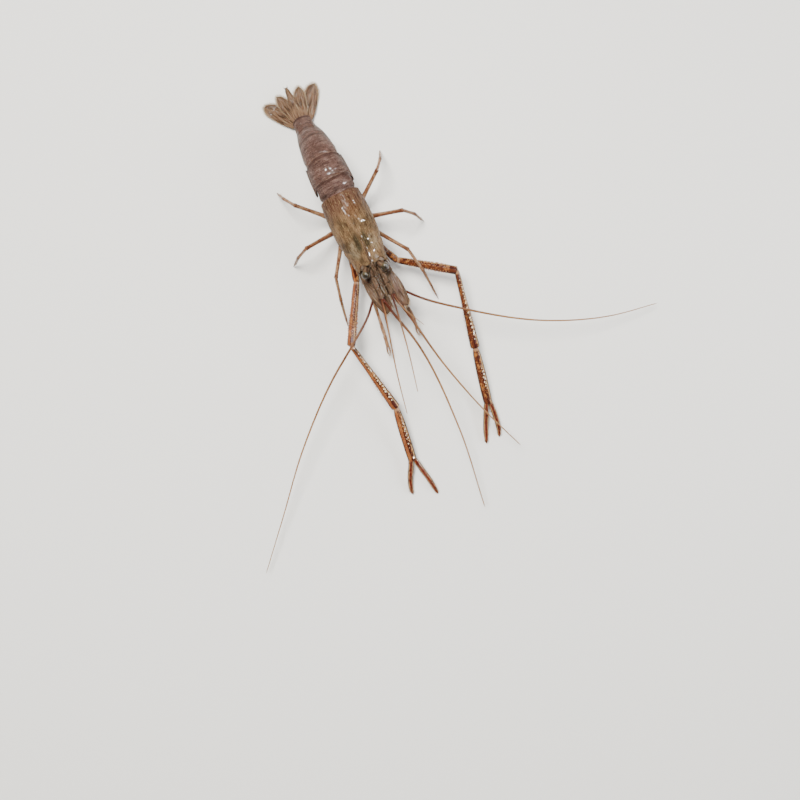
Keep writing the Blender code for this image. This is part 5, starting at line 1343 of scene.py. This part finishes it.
LONG_FEELERS = {
    "right": (
        (-3.4, -5.8, 11.5), (-6.6, -9.3, 12.1), (-12.4, -13.6, 12.6), (-21.7, -20.0, 12.2), (-36.5, -32.8, 9.0),
        (-49.0, -46.2, 5.0), (-60.0, -58.0, 2.6),
    ),
    "left": (
        (3.5, -5.8, 11.5), (7.4, -10.4, 12.1), (16.2, -17.9, 12.5), (33.0, -29.0, 10.6), (50.0, -35.5, 6.6),
        (64.0, -38.0, 3.0),
    ),
}
SMALL_FEELERS = {  # the places of each whip after its root, and its radii at root and tip
    "right": (
        (((-0.5, -11.0, 14.3), (1.4, -18.6, 14.0), (2.3, -44.8, 9.4), (-0.3, -66.8, 4.0)), 0.37, 0.13),
        (((-3.2, -14.0, 13.8), (-6.2, -26.0, 11.6), (-8.2, -36.0, 8.6)), 0.28, 0.1),
        (((-2.4, -11.5, 15.4), (-4.4, -18.0, 15.8)), 0.2, 0.07),
    ),
    "left": (
        (((2.8, -13.0, 14.2), (5.6, -28.0, 12.4), (9.6, -42.0, 9.8), (15.0, -56.0, 6.0)), 0.37, 0.13),
        (((0.4, -13.0, 15.2), (-1.2, -22.0, 15.4), (-3.4, -32.0, 14.0)), 0.28, 0.1),
        (((2.4, -11.5, 15.5), (5.2, -17.5, 16.0)), 0.2, 0.07),
    ),
}
SMALL_WHIP_ROOT = (1.4, -6.2, 14.3)
SMALL_STALK = ((1.35, 1.9, 14.6), (1.34, -1.3, 14.55), (1.3, -4.1, 14.4), (1.3, -6.9, 14.3))
SMALL_STALK_RADII = ((0.9, 1.02, 0.96, 1.0, 0.94), (0.84, 0.93, 0.88, 0.93, 0.86), (0.76, 0.84, 0.8, 0.84, 0.74))
SMALL_STALK_SIZES = ((0.7, 26, 50), (0.78, 24, 40), (0.8, 24, 40))  # flatten, points round and points along
FEELER_RING = 0.3


def whip(points, start_radius, end_radius, around):
    """A ringed whip: the radius falls evenly and swells by a few hundredths once a ring. Its lie's z is the share
    of the whip from its root."""
    length = run_along(points)[-1]
    path = run_through(points, int(length / FEELER_RING * 4))
    s = np.linspace(0, 1, len(path))
    swell = 1 + 0.035 * np.cos(2 * np.pi * s * length / FEELER_RING)
    radii = (start_radius + (end_radius - start_radius) * s) * swell * np.minimum(1, 0.05 + (1 - s) * 60)
    patch = tube(path, radii, around)
    return marked(patch, np.clip(patch["lie"][:, 0] / length, 0, 1))


def antennule_patches(side):
    """The small feeler: three stalk joints, the first broad with a thorn on its outer side, and three whips."""
    sign = SIDES[side]
    places = [mirror(sign, *place) for place in SMALL_STALK]
    shell = [
        limb(a, b, (0, 0.06, 0.5, 0.92, 1), radii, *sizes, sink=0.3)
        for a, b, radii, sizes in zip(places, places[1:], SMALL_STALK_RADII, SMALL_STALK_SIZES)
    ]
    run = np.linspace(0, 1, 16)
    thorn = places[0] + mirror(sign, 0.75, -1.2, 0) + run[:, None] * mirror(sign, 0.35, -2.4, 0.1)
    shell.append(tube(thorn, 0.2 * (1 - run**1.6) + 0.01, around=10))
    root = mirror(sign, *SMALL_WHIP_ROOT)
    whips = [whip([root, *points], *radii, around=10) for points, *radii in SMALL_FEELERS[side]]
    hairs = [limb_hairs((places[0], places[-1]), 0.8, 90, 0.5, turns) for turns in ((-110, -70), (70, 110))]
    return [marked(patch, 0.3) for patch in shell], whips, hairs


def antenna_patches(side):
    """The long feeler's stout root, its thinner joints, and the whip."""
    sign = SIDES[side]
    root = limb(mirror(sign, 2.85, 2.2, 12.35), mirror(sign, 3.0, -1.6, 12.3), (0, 0.2, 0.6, 0.92, 1),
                (0.8, 1.05, 1.16, 1.1, 0.9), around=30, count=50)
    start = mirror(sign, 2.75, -1.4, 11.75)
    end, beyond = (np.array(place) for place in LONG_FEELERS[side][:2])
    stations = (0, 0.15, 0.85, 1)
    base = [
        limb(start, end * 0.55 + start * 0.45, stations, (0.5, 0.68, 0.62, 0.5), around=22),
        limb(end * 0.5 + start * 0.5, end + unit(beyond - end) * 0.2, stations, (0.42, 0.56, 0.54, 0.42),
             around=22),
    ]
    long_whip = whip(LONG_FEELERS[side], 0.34, 0.1, around=12)
    return [root], [marked(patch, 0.05) for patch in base], [long_whip]


# Putting the prawn together

def build_prawn():
    """The pieces along the middle of the animal, then those of each side."""
    piece("shield", [shield_patch()], "olive_shell", "olive_shell", "carapace")
    piece("beak", [beak_patch(), *cheek_spines()], "thin_shell", "olive_shell", "carapace")
    piece("beak_hairs", [beak_hairs()], "bristle", "olive_shell")
    piece("chest", chest_patches(), "membrane", "leg_shell", "thorax")
    for index in range(6):
        big_flaps = [big_flap_patch(sign) for sign in SIDES.values()] if index == 1 else []
        piece(f"tail_plate_{index + 1}", [ring_patch(index), *big_flaps], "tail_shell", "tail_shell",
              f"tail_ring_{index + 1}")
    piece("tail_flesh", [tail_core()], "membrane", "tail_shell")
    piece("spike", spike_patches(), "thin_shell", "thin_shell", "tail_spike")
    for side in SIDES:
        build_side(side)


def build_side(side):
    """The pieces of one side, from the tail fan to the swimmerets."""
    for k, name in enumerate(("inner", "outer")):
        shell, hairs = fan_patches(side, k)
        piece(f"fan_{side}_{name}_leaf", shell, "thin_shell", "thin_shell", f"tail_fan_{side}_{name}")
        piece(f"fan_{side}_{name}_fringe", hairs, "bristle", "thin_shell")
    shell, hairs = scale_patches(side)
    piece(f"scale_leaf_{side}", shell, "thin_shell", "thin_shell", f"scale_{side}")
    piece(f"scale_fringe_{side}", hairs, "bristle", "thin_shell")
    stalk, cornea = eye_patches(side)
    piece(f"eye_stalk_{side}", stalk, "thin_shell", "eye", f"eye_{side}")
    piece(f"cornea_{side}", cornea, "eye_shell", "eye", f"eye_{side}")
    shell, whips, hairs = antennule_patches(side)
    piece(f"small_feeler_stalk_{side}", shell, "thin_shell", "feeler", f"antennule_{side}")
    piece(f"small_feeler_whips_{side}", whips, "feeler_shell", "feeler", f"antennule_{side}")
    piece(f"small_feeler_hairs_{side}", hairs, "bristle", "feeler")
    root, base, long_whip = antenna_patches(side)
    near, far = (f"antenna_{side}_whip_{part}" for part in ("near", "far"))
    piece(f"long_feeler_root_{side}", root, "thin_shell", "olive_shell", f"antenna_{side}_root")
    piece(f"long_feeler_base_{side}", base, "thin_shell", "feeler", near)
    piece(f"long_feeler_whip_{side}", long_whip, "feeler_shell", "feeler", near, far)
    shells, spines, hairs = arm_patches(side)
    for name, patches in shells.items():
        piece(f"arm_{side}_{name}_shell", patches, "arm_shell", "arm_shell", f"arm_{side}_{name}")
    for name, patches in spines.items():
        piece(f"arm_{side}_{name}_spines", patches, "spine_horn", "arm_shell", f"arm_{side}_{name}")
    piece(f"arm_{side}_hairs", hairs, "bristle", "arm_shell")
    for hip in ("leg3", "leg4", "leg5"):
        thigh, shank, hairs = walking_leg_patches(hip, side)
        piece(f"{hip}_{side}_upper", thigh, "leg_shell", "leg_shell", f"{hip}_{side}_thigh")
        piece(f"{hip}_{side}_lower", shank, "leg_shell", "leg_shell", f"{hip}_{side}_shank")
        piece(f"{hip}_{side}_hairs", hairs, "bristle", "leg_shell")
    shell, hairs = first_leg_patches(side)
    piece(f"first_leg_{side}", shell, "leg_shell", "leg_shell", f"leg1_{side}")
    piece(f"first_leg_hairs_{side}", hairs, "bristle", "leg_shell")
    shell, hairs = jaw_leg_patches(side)
    piece(f"jaw_leg_{side}_shell", shell, "leg_shell", "leg_shell", f"jaw_leg_{side}")
    piece(f"jaw_leg_{side}_hairs", hairs, "bristle", "leg_shell")
    for index in range(5):
        shell, hairs = swimmeret_patches(index, side)
        piece(f"paddle_{index + 1}_{side}", shell, "thin_shell", "thin_shell", f"swimmeret_{index + 1}_{side}")
        piece(f"paddle_fringe_{index + 1}_{side}", hairs, "bristle", "thin_shell")


# Floor, light and camera

CAMERA_PLACE = (-8.3, -31.8, 237.0)
CAMERA_TURN = (0.902, -0.431)
CAMERA_LENS = 39.96
GLINT_SIZE = 0.03
GLINT_POWER = 8.5


def build_floor():
    """A plain pale floor."""
    bpy.ops.mesh.primitive_plane_add(size=1.6, location=(0, 0, 0))
    floor = bpy.context.object
    floor.name = "floor"
    finish = Finish("floor", 0.55, 0.0)
    finish.shader.inputs["Base Color"].default_value = paint(222, 220, 214, wet=1.0)
    floor.data.materials.append(finish.material)


def area_light(name, place, size, power, colour=(1, 1, 1), glints=False):
    """A round light, aimed at the middle of the floor, that either lights the scene softly or only shows as glints
    on wet shell."""
    light = bpy.data.lights.new(name, "AREA")
    light.shape = "DISK"
    light.size = size
    light.energy = power
    light.color = colour
    obj = bpy.data.objects.new(name, light)
    bpy.context.scene.collection.objects.link(obj)
    obj.location = place
    obj.rotation_euler = (-Vector(place)).to_track_quat("-Z", "Y").to_euler()
    obj.visible_glossy = glints
    obj.visible_diffuse = not glints


def build_studio():
    """A big soft light, a fill from the other side, two small lights that only make crisp glints, and the camera,
    which looks straight down with the tail towards the page's upper left."""
    area_light("soft_key", (-0.06, 0.16, 0.6), 0.26, 10.5, (1.0, 0.98, 0.95))
    area_light("fill", (0.5, -0.34, 0.34), 0.4, 3.4, (0.92, 0.96, 1.0))
    area_light("glint", (0.1, 0.22, 0.55), GLINT_SIZE, GLINT_POWER, glints=True)
    area_light("side_glint", (0.41, -0.11, 0.36), GLINT_SIZE, GLINT_POWER, glints=True)
    sky = bpy.data.worlds.new("studio")
    sky.use_nodes = True
    sky.node_tree.nodes["Background"].inputs["Color"].default_value = (0.9, 0.93, 1.0, 1.0)
    sky.node_tree.nodes["Background"].inputs["Strength"].default_value = 0.28
    bpy.context.scene.world = sky
    camera = bpy.data.cameras.new("camera")
    camera.lens = CAMERA_LENS
    camera.sensor_width = 36.0
    camera.clip_start = 0.01
    camera.clip_end = 10.0
    obj = bpy.data.objects.new("camera", camera)
    bpy.context.scene.collection.objects.link(obj)
    obj.location = world(CAMERA_PLACE)
    obj.rotation_euler = (0, 0, math.atan2(CAMERA_TURN[1], CAMERA_TURN[0]))
    bpy.context.scene.camera = obj


build_prawn()
build_floor()
build_studio()
